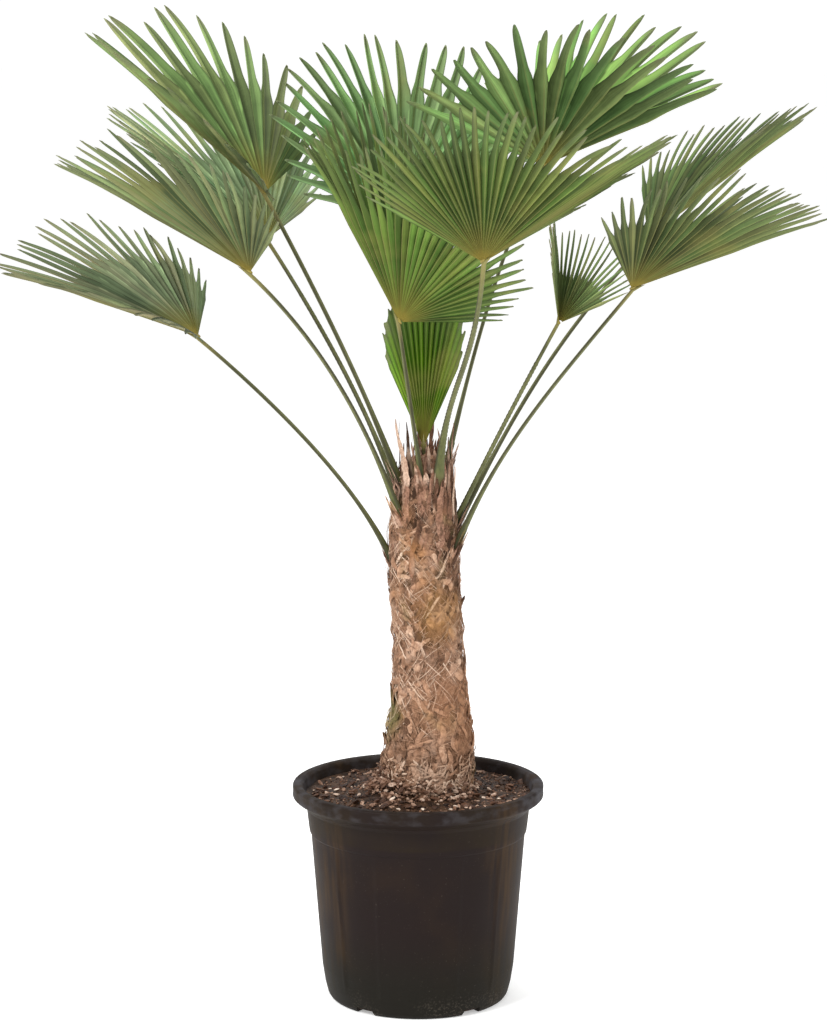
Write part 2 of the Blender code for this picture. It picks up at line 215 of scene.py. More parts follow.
def grain(places: np.ndarray, scale: float, seed: float = 0.0) -> np.ndarray:
    """Return smooth noise from -1 to 1 at places.

    Args:
        places: Rows of x, y and z.
        scale: Lumps in a metre.
        seed: Another number gives another pattern.

    Returns:
        One number for each place.
    """
    flat = places.reshape(-1, 3) * scale + seed
    values = [noise.noise(Vector(place)) for place in flat.tolist()]
    return np.array(values).reshape(places.shape[:-1])


class Sheets:
    """Equal grids of faces in one mesh, whose corners are then placed together."""

    def __init__(self, name: str, columns: int, rows: int, copies: int = 1) -> None:
        """Lay the grids.

        Args:
            name: The piece's name.
            columns: Faces across each grid.
            rows: Faces along each grid.
            copies: How many grids.
        """
        self.thing = added(name, bpy.ops.mesh.primitive_grid_add, x_subdivisions=columns, y_subdivisions=rows,
                           size=1.0)
        repeat(self.thing, copies, 1.0)
        places = corners(self.thing)
        self.copy = np.rint(places[:, 2]).astype(int)
        self.row = np.rint((places[:, 1] + 0.5) * rows).astype(int)
        self.column = np.rint((places[:, 0] + 0.5) * columns).astype(int)
        self.face_copy = np.rint(read(self.thing.data.polygons, "center", 3)[:, 2]).astype(int)

    def place(self, places: np.ndarray) -> None:
        """Place the corners from an array indexed by copy, row and column."""
        set_corners(self.thing, places[self.copy, self.row, self.column])

    def tag(self, name: str, values: np.ndarray) -> None:
        """Store a number for each corner from an array indexed by copy, row and column."""
        tag(self.thing, name, values[self.copy, self.row, self.column])

    def tag_copies(self, name: str, values: np.ndarray) -> None:
        """Store a number or a colour for each grid on its faces."""
        tag(self.thing, name, values[self.face_copy], "FACE")


def swept(name: str, lines: np.ndarray, ups: np.ndarray, wide: np.ndarray, deep: np.ndarray,
          columns: int, tones: np.ndarray) -> bpy.types.Object:
    """Sweep a flattened round section along many lines, each closed where its size falls to nothing.

    Args:
        name: The piece's name.
        lines: Places indexed by line and step.
        ups: The direction of the section's depth, indexed in the same way.
        wide: Half the section's width at each step.
        deep: Half the section's depth at each step.
        columns: Faces round the section.
        tones: One number for each line, which its finish reads.

    Returns:
        The swept piece.
    """
    count, steps, _ = lines.shape
    sheets = Sheets(name, columns, steps - 1, count)
    ahead = unit(np.gradient(lines, axis=1))
    side = unit(np.cross(ahead, ups))
    upper = np.cross(side, ahead)
    turn = np.linspace(0.0, math.tau, columns + 1)
    turn[-1] = 0.0
    across = side[:, :, None, :] * (wide[:, :, None] * np.cos(turn))[..., None]
    lift = upper[:, :, None, :] * (deep[:, :, None] * np.sin(turn))[..., None]
    sheets.place(lines[:, :, None, :] + across + lift)
    shape = (count, steps, columns + 1)
    sheets.tag("along", np.broadcast_to(np.linspace(0.0, 1.0, steps)[None, :, None], shape))
    sheets.tag("edge", np.broadcast_to(np.abs(np.cos(turn))[None, None, :], shape))
    sheets.tag_copies("tone", tones)
    weld(sheets.thing)
    soften(sheets.thing, 60.0)
    return sheets.thing


def turned(name: str, profile: Sequence[Span], segments: int) -> bpy.types.Object:
    """Turn a closed piece: each ring is extruded, moved and scaled from the one before.

    Args:
        name: The piece's name.
        profile: Pairs of radius and height that start and end on the axis.
        segments: Faces round the piece.

    Returns:
        The turned piece.
    """
    rings = [(max(radius, ON_AXIS), height) for radius, height in profile]
    first_radius, first_height = rings[0]
    thing = added(name, bpy.ops.mesh.primitive_circle_add, vertices=segments, radius=first_radius,
                  location=(0.0, 0.0, first_height))
    with editing(thing):
        for (radius, height), (next_radius, next_height) in zip(rings, rings[1:]):
            lift = (0.0, 0.0, next_height - height)
            bpy.ops.mesh.extrude_region_move(TRANSFORM_OT_translate={"value": lift})
            ratio = next_radius / radius
            bpy.ops.transform.resize(value=(ratio, ratio, 1.0), center_override=(0.0, 0.0, next_height))
    weld(thing, distance=5.0 * ON_AXIS)
    return thing


def rounded(profile: Sequence[Span], radius: float, steps: int = 4) -> list[Span]:
    """Round the corners of a profile.

    Args:
        profile: Pairs of radius and height.
        radius: The most that a corner is cut back.
        steps: New points for each corner.

    Returns:
        The rounded profile.
    """
    done = [profile[0]]
    for before, here, after in zip(profile, profile[1:], profile[2:]):
        corner = np.array(here)
        sides = [np.array(point) - corner for point in (before, after)]
        lengths = [np.linalg.norm(side) for side in sides]
        back = min(radius, 0.45 * lengths[0], 0.45 * lengths[1])
        start, end = (corner + side / length * back for side, length in zip(sides, lengths))
        for share in np.linspace(0.0, 1.0, steps):
            rest = 1.0 - share
            point = start * rest * rest + corner * (2.0 * rest * share) + end * share * share
            done.append((float(point[0]), float(point[1])))
    done.append(profile[-1])
    return done


# Finishes: shader trees written as expressions


class Term:
    """A shader socket that Python's operators join into Math nodes."""

    def __init__(self, tree: "Tree", socket: bpy.types.NodeSocket) -> None:
        """Hold an output socket of a tree."""
        self.tree = tree
        self.socket = socket

    def __add__(self, other: "Term | float") -> "Term":
        """Return the sum."""
        return self.tree.math("ADD", self, other)

    def __sub__(self, other: "Term | float") -> "Term":
        """Return the difference."""
        return self.tree.math("SUBTRACT", self, other)

    def __rsub__(self, other: "Term | float") -> "Term":
        """Return a number less this."""
        return self.tree.math("SUBTRACT", other, self)

    def __mul__(self, other: "Term | float") -> "Term":
        """Return the product."""
        return self.tree.math("MULTIPLY", self, other)

    def __abs__(self) -> "Term":
        """Return the size without its sign."""
        return self.tree.math("ABSOLUTE", self)

    def rise(self, low: float, high: float) -> "Term":
        """Return a smooth step, 0 at low and 1 at high, whichever of them is the larger."""
        ends = (low, high, 0.0, 1.0) if low < high else (high, low, 1.0, 0.0)
        return self.tree.node("ShaderNodeMapRange", {"interpolation_type": "SMOOTHSTEP"},
                              dict(enumerate((self, *ends))))


class Tree:
    """A material in the making, with one shader that its terms and colours feed."""

    def __init__(self, name: str, **sockets: float) -> None:
        """Start a material.

        Args:
            name: The material's name.
            sockets: Even values of the shader's sockets, underscores for spaces.
        """
        self.material = bpy.data.materials.new(name)
        self.material.use_nodes = True
        self.shader = self.material.node_tree.nodes["Principled BSDF"]
        for key, value in sockets.items():
            self.feed(self.shader, key.replace("_", " "), value)

    def feed(self, node: bpy.types.Node, key: int | str, value: object) -> None:
        """Link or set one input of a node.

        Args:
            node: The node.
            key: The input's index, identifier or name.
            value: A term, a number or a tuple of numbers.
        """
        socket = self.find(node.inputs, key)
        if isinstance(value, Term):
            self.material.node_tree.links.new(value.socket, socket)
        elif isinstance(value, tuple) and socket.type == "RGBA":
            socket.default_value = (*value, 1.0)
        else:
            socket.default_value = value

    @staticmethod
    def find(sockets: bpy.types.bpy_prop_collection, key: int | str) -> bpy.types.NodeSocket:
        """Return a socket by its index, identifier or name."""
        if isinstance(key, int):
            return sockets[key]
        return next(socket for socket in sockets if key in (socket.identifier, socket.name))

    def node(self, kind: str, settings: dict | None = None, inputs: dict | None = None,
             output: int | str = 0) -> Term:
        """Add a node.

        Args:
            kind: The node's type.
            settings: Its properties, or "stops" for a ramp's pairs of place and colour.
            inputs: Values or terms by input.
            output: The output to return.

        Returns:
            The output as a term.
        """
        made = self.material.node_tree.nodes.new(kind)
        for key, value in (settings or {}).items():
            if key == "stops":
                while len(made.color_ramp.elements) < len(value):
                    made.color_ramp.elements.new(0.5)
                for element, (place, colour) in zip(made.color_ramp.elements, value):
                    element.position = place
                    element.color = (*colour, 1.0)
            else:
                setattr(made, key, value)
        for key, value in (inputs or {}).items():
            self.feed(made, key, value)
        return Term(self, self.find(made.outputs, output))

    def math(self, operation: str, *values: Term | float) -> Term:
        """Return the result of one Math node."""
        return self.node("ShaderNodeMath", {"operation": operation}, dict(enumerate(values)))

    def ramp(self, stops: Stops, share: Term) -> Term:
        """Return the colour that a ramp's stops give for a number."""
        return self.node("ShaderNodeValToRGB", {"stops": stops}, {0: share})

    def mark(self, name: str, output: str = "Fac") -> Term:
        """Return an attribute of the mesh, as a number, or as a colour with output Color."""
        settings = {"attribute_type": "GEOMETRY", "attribute_name": name}
        return self.node("ShaderNodeAttribute", settings, output=output)

    def place(self, stretch: Spot = (1.0, 1.0, 1.0)) -> Term:
        """Return the place on the object, stretched along its axes."""
        where = self.node("ShaderNodeTexCoord", output="Object")
        return self.node("ShaderNodeMapping", {"vector_type": "POINT"}, {"Vector": where, "Scale": stretch})

    def vector(self, x: Term | float, y: Term | float, z: Term | float) -> Term:
        """Return a vector of three numbers."""
        return self.node("ShaderNodeCombineXYZ", None, {0: x, 1: y, 2: z})

    def noise(self, where: Term, scale: float, detail: float = 2.0, distortion: float = 0.0) -> Term:
        """Return noise around 0.5 at a place.

        Args:
            where: The place.
            scale: Lumps in a unit of the place.
            detail: Octaves of finer noise.
            distortion: How much it swirls.

        Returns:
            The noise as a number.
        """
        inputs = {"Vector": where, "Scale": scale, "Detail": detail, "Distortion": distortion}
        return self.node("ShaderNodeTexNoise", {"normalize": True}, inputs)

    def blend(self, mask: Term | float, base: Term | Colour, over: Term | Colour, mode: str = "MIX") -> Term:
        """Mix two colours.

        Args:
            mask: How much of the second colour.
            base: The first colour.
            over: The second colour, or for another mode the number or colour that works on the first.
            mode: The Mix node's blend type.

        Returns:
            The mixed colour.
        """
        inputs = {"Factor_Float": mask, "A_Color": base, "B_Color": over}
        return self.node("ShaderNodeMix", {"data_type": "RGBA", "blend_type": mode}, inputs, "Result_Color")

    def gain(self, colour: Term | Colour, amount: Term) -> Term:
        """Return a colour brightened or darkened by a number."""
        return self.blend(1.0, colour, amount, "MULTIPLY")

    def done(self, colour: Term, rough: Term | None, height: Term, strength: float,
             distance: float) -> bpy.types.Material:
        """Feed the shader and give the material.

        Args:
            colour: The base colour.
            rough: The roughness, or None where it is even.
            height: The relief for the bump.
            strength: The bump's strength.
            distance: The bump's height in metres.

        Returns:
            The finished material.
        """
        self.feed(self.shader, "Base Color", colour)
        if rough is not None:
            self.feed(self.shader, "Roughness", rough)
        relief = {"Strength": strength, "Distance": distance, "Height": height}
        self.feed(self.shader, "Normal", self.node("ShaderNodeBump", None, relief))
        return self.material


@dataclass(frozen=True)
class PotPlastic:
    """Moulded black plastic, hazed with dust at the lip and the foot, with painted light streaks and a painted
    sheen on its left and right flanks.
    """

    base: Colour = (0.0145, 0.0092, 0.0084)
    warm: Colour = (0.056, 0.031, 0.013)
    olive: Colour = (0.021, 0.0140, 0.0075)
    low: Colour = (0.0115, 0.0115, 0.0080)
    lip_dust_and_sheen: Colour = (0.070, 0.067, 0.074)
    dust: Colour = (0.17, 0.14, 0.11)
    band_height: float = 0.262
    lip_height: float = 0.311
    foot_height: float = 0.045

    def material(self) -> bpy.types.Material:
        """Return the material."""
        tree = Tree("pot_plastic", Specular_IOR_Level=0.07)
        flat = tree.place()
        height, across = (tree.node("ShaderNodeSeparateXYZ", None, {0: flat}, axis) for axis in "ZX")
        sideways = abs(across)
        cloud = tree.noise(flat, 9.0, 4.0)
        streak = tree.noise(tree.place((1.0, 1.0, 0.04)), 95.0, 5.0)
        speck = tree.noise(flat, 330.0, 2.0)
        fine = tree.noise(flat, 1100.0, 1.0)
        patch = tree.noise(tree.place((1.0, 1.0, 0.5)), 14.0, 3.0).rise(0.30, 0.60)
        # Painted light: warm streaks only on the left and right flanks, lighter where the sides catch the
        # light; the cloud adds mottled wear all round.
        side_light_streaks = sideways.rise(0.085, 0.130) * (streak.rise(0.25, 0.72) * 0.60 + 0.12) * patch
        wear_and_side_light = cloud.rise(0.46, 0.70) * 0.22 + side_light_streaks
        colour = tree.blend(wear_and_side_light.rise(0.0, 1.15), self.base, self.warm)
        band = height.rise(self.band_height, self.band_height + 0.006)
        colour = tree.blend(band * cloud.rise(0.30, 0.62) * 0.7, colour, self.olive)
        colour = tree.blend(height.rise(0.15, 0.03) * 0.7, colour, self.low)
        lip = height.rise(self.lip_height - 0.002, self.lip_height + 0.001)
        mottle = tree.noise(tree.place((1.0, 1.0, 1.6)), 46.0, 4.0)
        # Painted sheen: a pale haze on the lip's left and right flanks; the mottle along the whole lip is dust.
        sides = sideways.rise(0.13, 0.19) * mottle.rise(0.30, 0.6) * 0.55
        dust_and_sheen = lip * (mottle.rise(0.44, 0.70) * 0.30 + sides)
        colour = tree.blend(dust_and_sheen, colour, self.lip_dust_and_sheen)
        foot = height.rise(self.foot_height, 0.004) * speck.rise(0.50, 0.64) * cloud.rise(0.40, 0.56)
        colour = tree.blend(foot * 0.22, colour, self.dust)
        flecks = speck.rise(0.68, 0.74) * cloud.rise(0.35, 0.6)
        colour = tree.blend(flecks * 0.14, colour, self.dust)
        rough = cloud * 0.22 + wear_and_side_light * 0.10 + dust_and_sheen * 0.25 + 0.42
        relief = fine * 0.5 + speck * 0.4 + streak * 0.5
        return tree.done(colour, rough, relief, strength=0.22, distance=0.0006)


@dataclass(frozen=True)
class LooseSoil:
    """Dark peaty compost."""

    name: str
    dark: Colour = (0.014, 0.0065, 0.0035)
    light: Colour = (0.068, 0.034, 0.017)

    def material(self) -> bpy.types.Material:
        """Return the material."""
        tree = Tree(self.name, Specular_IOR_Level=0.2)
        flat = tree.place()
        clod = tree.noise(flat, 75.0, 5.0)
        crumb = tree.noise(flat, 420.0, 3.0)
        colour = tree.blend(clod.rise(0.36, 0.66), self.dark, self.light)
        colour = tree.gain(colour, crumb * 1.2 + 0.4)
        return tree.done(colour, None, crumb + clod, strength=0.8, distance=0.002)


@dataclass(frozen=True)
class BarkChip:
    """Bark, wood and grit in the compost, from nearly black to cream by each chip's tone."""

    name: str
    stops: Stops = (
        (0.00, (0.018, 0.008, 0.005)),
        (0.30, (0.060, 0.026, 0.014)),
        (0.55, (0.170, 0.085, 0.050)),
        (0.78, (0.400, 0.250, 0.175)),
        (1.00, (0.780, 0.640, 0.520)),
    )

    def material(self) -> bpy.types.Material:
        """Return the material."""
        tree = Tree(self.name, Specular_IOR_Level=0.25)
        grainy = tree.noise(tree.place(), 260.0, 4.0, 0.6)
        colour = tree.ramp(self.stops, tree.mark("tone") + (grainy - 0.5) * 0.22)
        colour = tree.gain(colour, grainy * 0.9 + 0.55)
        return tree.done(colour, None, grainy, strength=0.7, distance=0.0012)


@dataclass(frozen=True)
class PalmFibre:
    """Matted palm fibre: tan by each fibre's tone, with pale, rusty and mossy patches, stains and painted shade
    in pits.
    """

    name: str
    stops: Stops
    pale: Colour = (0.545, 0.370, 0.270)
    rust: Colour = (0.34, 0.155, 0.050)
    moss: Colour = (0.19, 0.165, 0.060)
    pit_shade: Colour = (0.070, 0.036, 0.020)
    grain_scale: float = 190.0
    contrast: float = 1.1
    relief: float = 0.0022
    stains: tuple[tuple[Spot, float, Colour], ...] = (
        ((0.040, -0.045, 0.588), 0.060, (0.350, 0.175, 0.050)),
        ((0.062, -0.035, 0.450), 0.095, (0.420, 0.215, 0.115)),
        ((-0.052, -0.020, 0.440), 0.050, (0.140, 0.150, 0.045)),
    )

    def material(self) -> bpy.types.Material:
        """Return the material."""
        tree = Tree(self.name, Roughness=0.86, Specular_IOR_Level=0.18)
        flat = tree.place()
        patch = tree.noise(tree.place((1.0, 1.0, 0.6)), 17.0, 3.0)
        rust = tree.noise(tree.place((1.0, 1.0, 0.7)), 11.0, 2.0).rise(0.57, 0.72)
        mossy = tree.noise(tree.place((1.2, 1.2, 0.6)), 13.0, 2.0, 0.4).rise(0.60, 0.74)
        thread = tree.noise(flat, self.grain_scale, 4.0, 0.7)
        colour = tree.ramp(self.stops, tree.mark("tone") + (patch - 0.5) * 0.9 + (thread - 0.5) * 0.55)
        pale = tree.noise(tree.place((1.1, 1.1, 0.8)), 24.0, 3.0, 0.3).rise(0.52, 0.68)
        colour = tree.blend(pale * 0.42, colour, self.pale)
        colour = tree.blend(rust * 0.55, colour, self.rust)
        colour = tree.blend(mossy * 0.45, colour, self.moss)
        for centre, reach, stain in self.stains:
            gap = tree.node("ShaderNodeVectorMath", {"operation": "DISTANCE"}, {0: flat, 1: centre}, "Value")
            near = (gap + (patch - 0.5) * 0.06).rise(reach, reach * 0.3)
            colour = tree.blend(near * 0.55, colour, stain)
        # Painted shade: dark spots standing for the shaded pits between fibres.
        pit_shade = tree.noise(tree.place((1.0, 1.0, 0.8)), 95.0, 2.0).rise(0.41, 0.30)
        colour = tree.blend(pit_shade * 0.65, colour, self.pit_shade)
        colour = tree.gain(colour, (thread - 0.5) * self.contrast + 1.0)
        return tree.done(colour, None, thread, strength=0.75, distance=self.relief)


@dataclass(frozen=True)
class Leaf:
    """One face of a fan: each blade's own tint, fine veins, a pale rib, a yellow hub and dry tips, with painted
    shade in the folds' valleys and between blades, and painted light on one half of each fold.
    """

    name: str
    hub: Colour = (0.185, 0.155, 0.018)
    rib: Colour = (0.24, 0.27, 0.070)
    rib_share: float = 0.45
    fold_shade: float = 0.34
    outer: Colour = (0.185, 0.215, 0.115)
    glow: Colour = (0.240, 0.180, 0.032)
    yellow: Colour = (0.230, 0.210, 0.055)
    tip: Colour = (0.17, 0.165, 0.10)
    gloss: float = 0.10
    rough: float = 0.62

    def material(self) -> bpy.types.Material:
        """Return the material."""
        tree = Tree(self.name, Specular_IOR_Level=self.gloss)
        along, ray, side, tone, edge = (tree.mark(name) for name in ("along", "ray", "side", "tone", "edge"))
        vein = tree.noise(tree.vector(ray * 9.0, along * 1.4, tone * 7.0), 1.6, 3.0)
        cloud = tree.noise(tree.place(), 26.0, 3.0)
        colour = tree.gain(tree.mark("tint", "Color"), (vein - 0.5) * 1.1 + (cloud - 0.5) * 0.8 + 1.0)
        # Painted shade in the pleats: darker along each fold's valley and lighter along its ridge, on both
        # faces.
        colour = tree.gain(colour, side.rise(0.0, 0.9) * self.fold_shade + (1.0 - self.fold_shade * 0.5))
        # Painted light and shade: one half of each blade's fold lighter, the other darker.
        colour = tree.gain(colour, edge.rise(-0.35, 0.35) * 0.50 + 0.75)
        yellowed = tree.noise(tree.place(), 9.0, 3.0).rise(0.56, 0.70)
        colour = tree.blend(yellowed * 0.34, colour, self.yellow)
        ribbed = side.rise(0.16, 0.03) * along.rise(1.05, 0.30) * self.rib_share
        colour = tree.blend(ribbed, colour, self.rib)
        # Painted shade: a dark line where neighbouring blades meet.
        colour = tree.gain(colour, 1.0 - side.rise(0.80, 0.98) * 0.45)
        colour = tree.gain(colour, along.rise(0.10, 0.95) * 0.44 + 0.80)
        colour = tree.blend(along.rise(0.45, 1.0) * 0.30, colour, self.outer)
        colour = tree.blend(along.rise(0.34, 0.02) * 0.66, colour, self.hub)
        colour = tree.blend(along.rise(0.11, 0.03) * 0.60, colour, self.glow)
        dry = (along + (tone - 0.5) * 0.10 + (vein - 0.5) * 0.06).rise(0.90, 1.0)
        colour = tree.blend(dry * 0.65, colour, self.tip)
        rough = (vein - 0.5) * 0.25 + dry * 0.2 + self.rough
        relief = vein + side.rise(0.25, 0.0) * 0.6
        return tree.done(colour, rough, relief, strength=0.35, distance=0.0007)


@dataclass(frozen=True)
class Stalk:
    """A leaf stalk: olive green, darker along its toothed edges, brown where it leaves the fibre."""

    name: str
    green: Colour = (0.125, 0.130, 0.052)
    low: Colour = (0.088, 0.096, 0.030)
    edge: Colour = (0.036, 0.034, 0.018)
    foot: Colour = (0.150, 0.092, 0.050)
    neck: Colour = (0.30, 0.26, 0.085)

    def material(self) -> bpy.types.Material:
        """Return the material."""
        tree = Tree(self.name, Specular_IOR_Level=0.2)
        along, edge = tree.mark("along"), tree.mark("edge")
        streak = tree.noise(tree.place((1.0, 1.0, 0.22)), 210.0, 3.0)
        blotch = tree.noise(tree.place(), 42.0, 3.0)
        colour = tree.blend(along.rise(0.42, 0.08) * 0.85, self.green, self.low)
        colour = tree.gain(colour, (streak - 0.5) * 0.9 + (blotch - 0.5) * 0.9 + 1.0)
        colour = tree.blend(edge.rise(0.66, 1.0) * 0.80, colour, self.edge)
        colour = tree.blend(along.rise(0.11, 0.02) * (blotch.rise(0.30, 0.60) * 0.6 + 0.4), colour, self.foot)
        colour = tree.blend(along.rise(0.86, 0.99) * 0.6, colour, self.neck)
        rough = streak * 0.3 + 0.36
        return tree.done(colour, rough, streak, strength=0.4, distance=0.0006)


@dataclass(frozen=True)
class Hastula:
    """The small yellow crest where a stalk meets its fan."""

    colour: Colour = (0.27, 0.215, 0.045)

    def material(self) -> bpy.types.Material:
        """Return the material."""
        tree = Tree("hastula", Roughness=0.5, Specular_IOR_Level=0.35)
        grainy = tree.noise(tree.place(), 300.0, 3.0)
        colour = tree.gain(self.colour, grainy * 0.9 + 0.55)
        return tree.done(colour, None, grainy, strength=0.4, distance=0.0006)


@dataclass(frozen=True)
class StudioPaper:
    """The studio's pale seamless paper, which glows a little as if lit from under."""

    colour: Colour = (0.90, 0.90, 0.895)
    glow: float = 0.36

    def material(self) -> bpy.types.Material:
        """Return the material."""
        tree = Tree("studio_paper", Roughness=0.95, Specular_IOR_Level=0.1, Emission_Strength=self.glow)
        tree.feed(tree.shader, "Emission Color", (1.0, 1.0, 1.0))
        tooth = tree.noise(tree.place(), 260.0, 3.0)
        colour = tree.gain(self.colour, tooth * 0.02 + 0.99)
        return tree.done(colour, None, tooth, strength=0.1, distance=0.0003)


# Sub-assemblies


@dataclass
class Pot:
    """The nursery pot: turned wall, rolled lip, stacking shoulder, five broad panels and five drains."""

    height: float = 0.330
    lip_radius: float = 0.190
    lip_depth: float = 0.018
    neck_radius: float = 0.169
    neck_height: float = 0.294
    shoulder_height: float = 0.257
    shoulder_radius: float = 0.1645
    shoulder_step: float = 0.0022
    foot_radius: float = 0.146
    foot_height: float = 0.050
    base_radius: float = 0.1335
    wall: float = 0.0032
    floor: float = 0.005
    segments: int = 300
    drains: int = 5
    drain_width: float = 0.036
    drain_height: float = 0.009
    drain_inner_radius: float = 0.112
    drain_narrowing: float = 0.8
    panel_half: float = 23.0
    panel_depth: float = 0.0011
    ridge_height: float = 0.0005
    finish: PotPlastic = field(default_factory=PotPlastic)

    def inner_wall(self) -> list[Span]:
        """Return the inner wall from the floor up to the lip, as pairs of radius and height."""
        return [
            (self.base_radius - 0.001, self.floor),
            (self.foot_radius - self.wall - 0.003, self.floor + 0.018),
            (self.foot_radius - self.wall, self.foot_height),
            (self.shoulder_radius - self.shoulder_step - self.wall, self.shoulder_height - 0.002),
            (self.neck_radius - self.wall, self.neck_height + 0.002),
            (self.neck_radius + 0.005, self.height - 0.004),
        ]

    def outer_wall(self) -> list[Span]:
        """Return the outer wall from the lip down to the base, with a bead under the lip and at the foot."""
        low = (self.foot_radius, self.foot_height)
        high = (self.shoulder_radius - self.shoulder_step, self.shoulder_height - 0.002)
        wall = [(high[0] + share * (low[0] - high[0]), high[1] + share * (low[1] - high[1]))
                for share in np.linspace(0.0, 1.0, 12)]
        return [
            (self.neck_radius + 0.009, self.height),
            (self.lip_radius - 0.0025, self.height),
            (self.lip_radius, self.height - 0.0025),
            (self.lip_radius - 0.0004, self.height - 0.010),
            (self.lip_radius, self.height - self.lip_depth),
            (self.lip_radius - 0.003, self.height - self.lip_depth - 0.003),
            (self.neck_radius + 0.004, self.neck_height + 0.006),
            (self.neck_radius, self.neck_height),
            (self.shoulder_radius + 0.0012, self.shoulder_height + 0.008),
            (self.shoulder_radius, self.shoulder_height),
            *wall,
            (self.foot_radius - 0.0018, self.foot_height - 0.012),
            (self.foot_radius - 0.0042, self.foot_height - 0.027),
            (self.base_radius + 0.004, 0.006),
            (self.base_radius + 0.0008, 0.0012),
            (self.base_radius - 0.001, 0.0),
        ]

    def underside(self) -> list[Span]:
        """Return the underside from the standing ring in to the axis, with two shallow grooves."""
        return [
            (0.118, 0.0), (0.117, 0.0012), (0.104, 0.0012), (0.103, 0.0),
            (0.056, 0.0), (0.055, 0.0010), (0.047, 0.0010), (0.046, 0.0), (0.0, 0.0),
        ]

    def press_panels(self, thing: bpy.types.Object) -> None:
        """Sink the turned pot's narrow panels between the broad ones, over each drain."""
        places = corners(thing)
        radius = np.hypot(places[:, 0], places[:, 1])
        bearing = np.degrees(np.arctan2(places[:, 1], places[:, 0])) + 90.0
        period = 360.0 / self.drains
        off = np.abs((bearing + period / 2.0) % period - period / 2.0)
        sunk = np.clip((off - self.panel_half) / 1.5, 0.0, 1.0)
        ridge = np.exp(-((off - self.panel_half) / 1.1) ** 2)
        high = np.clip((self.shoulder_height - 0.006 - places[:, 2]) / 0.004, 0.0, 1.0)
        low = np.clip((places[:, 2] - self.foot_height + 0.020) / 0.010, 0.0, 1.0)
        outer = radius > self.foot_radius - 0.0055 + (places[:, 2] - self.foot_height) * 0.0780
        amount = (ridge * self.ridge_height - sunk * self.panel_depth) * high * low * outer
        places[:, :2] *= (1.0 + amount / np.maximum(radius, 0.01))[:, None]
        set_corners(thing, places)

    def cut_drains(self, thing: bpy.types.Object) -> None:
        """Cut the drains through the corner of the turned pot's wall and floor."""
        depth = self.foot_radius + 0.02 - self.drain_inner_radius
        for number in range(self.drains):
            bearing = math.radians(-90.0 + (number + 0.5) * 360.0 / self.drains)
            cutter = added("drain", bpy.ops.mesh.primitive_cube_add, size=1.0)
            places = corners(cutter)
            narrow = np.where(places[:, 2] > 0.0, self.drain_narrowing, 1.0)
            outward = self.drain_inner_radius + depth * (places[:, 0] + 0.5)
            across = places[:, 1] * self.drain_width * narrow
            turned_x = outward * math.cos(bearing) - across * math.sin(bearing)
            turned_y = outward * math.sin(bearing) + across * math.cos(bearing)
            height = places[:, 2] * 2.0 * self.drain_height
            set_corners(cutter, np.stack([turned_x, turned_y, height], axis=1))
            modify(thing, "BOOLEAN", operation="DIFFERENCE", solver="EXACT", object=cutter)
            bpy.data.objects.remove(cutter, do_unlink=True)

    def build(self) -> None:
        """Build and dress the pot."""
        profile = [(0.0, self.floor), *self.inner_wall(), *self.outer_wall(), *self.underside()]
        thing = turned("nursery_pot", rounded(profile, 0.0016), self.segments)
        self.press_panels(thing)
        self.cut_drains(thing)
        soften(thing, 35.0)
        thing.data.materials.append(self.finish.material())
        deliver(thing, Slot.POT, "pot")


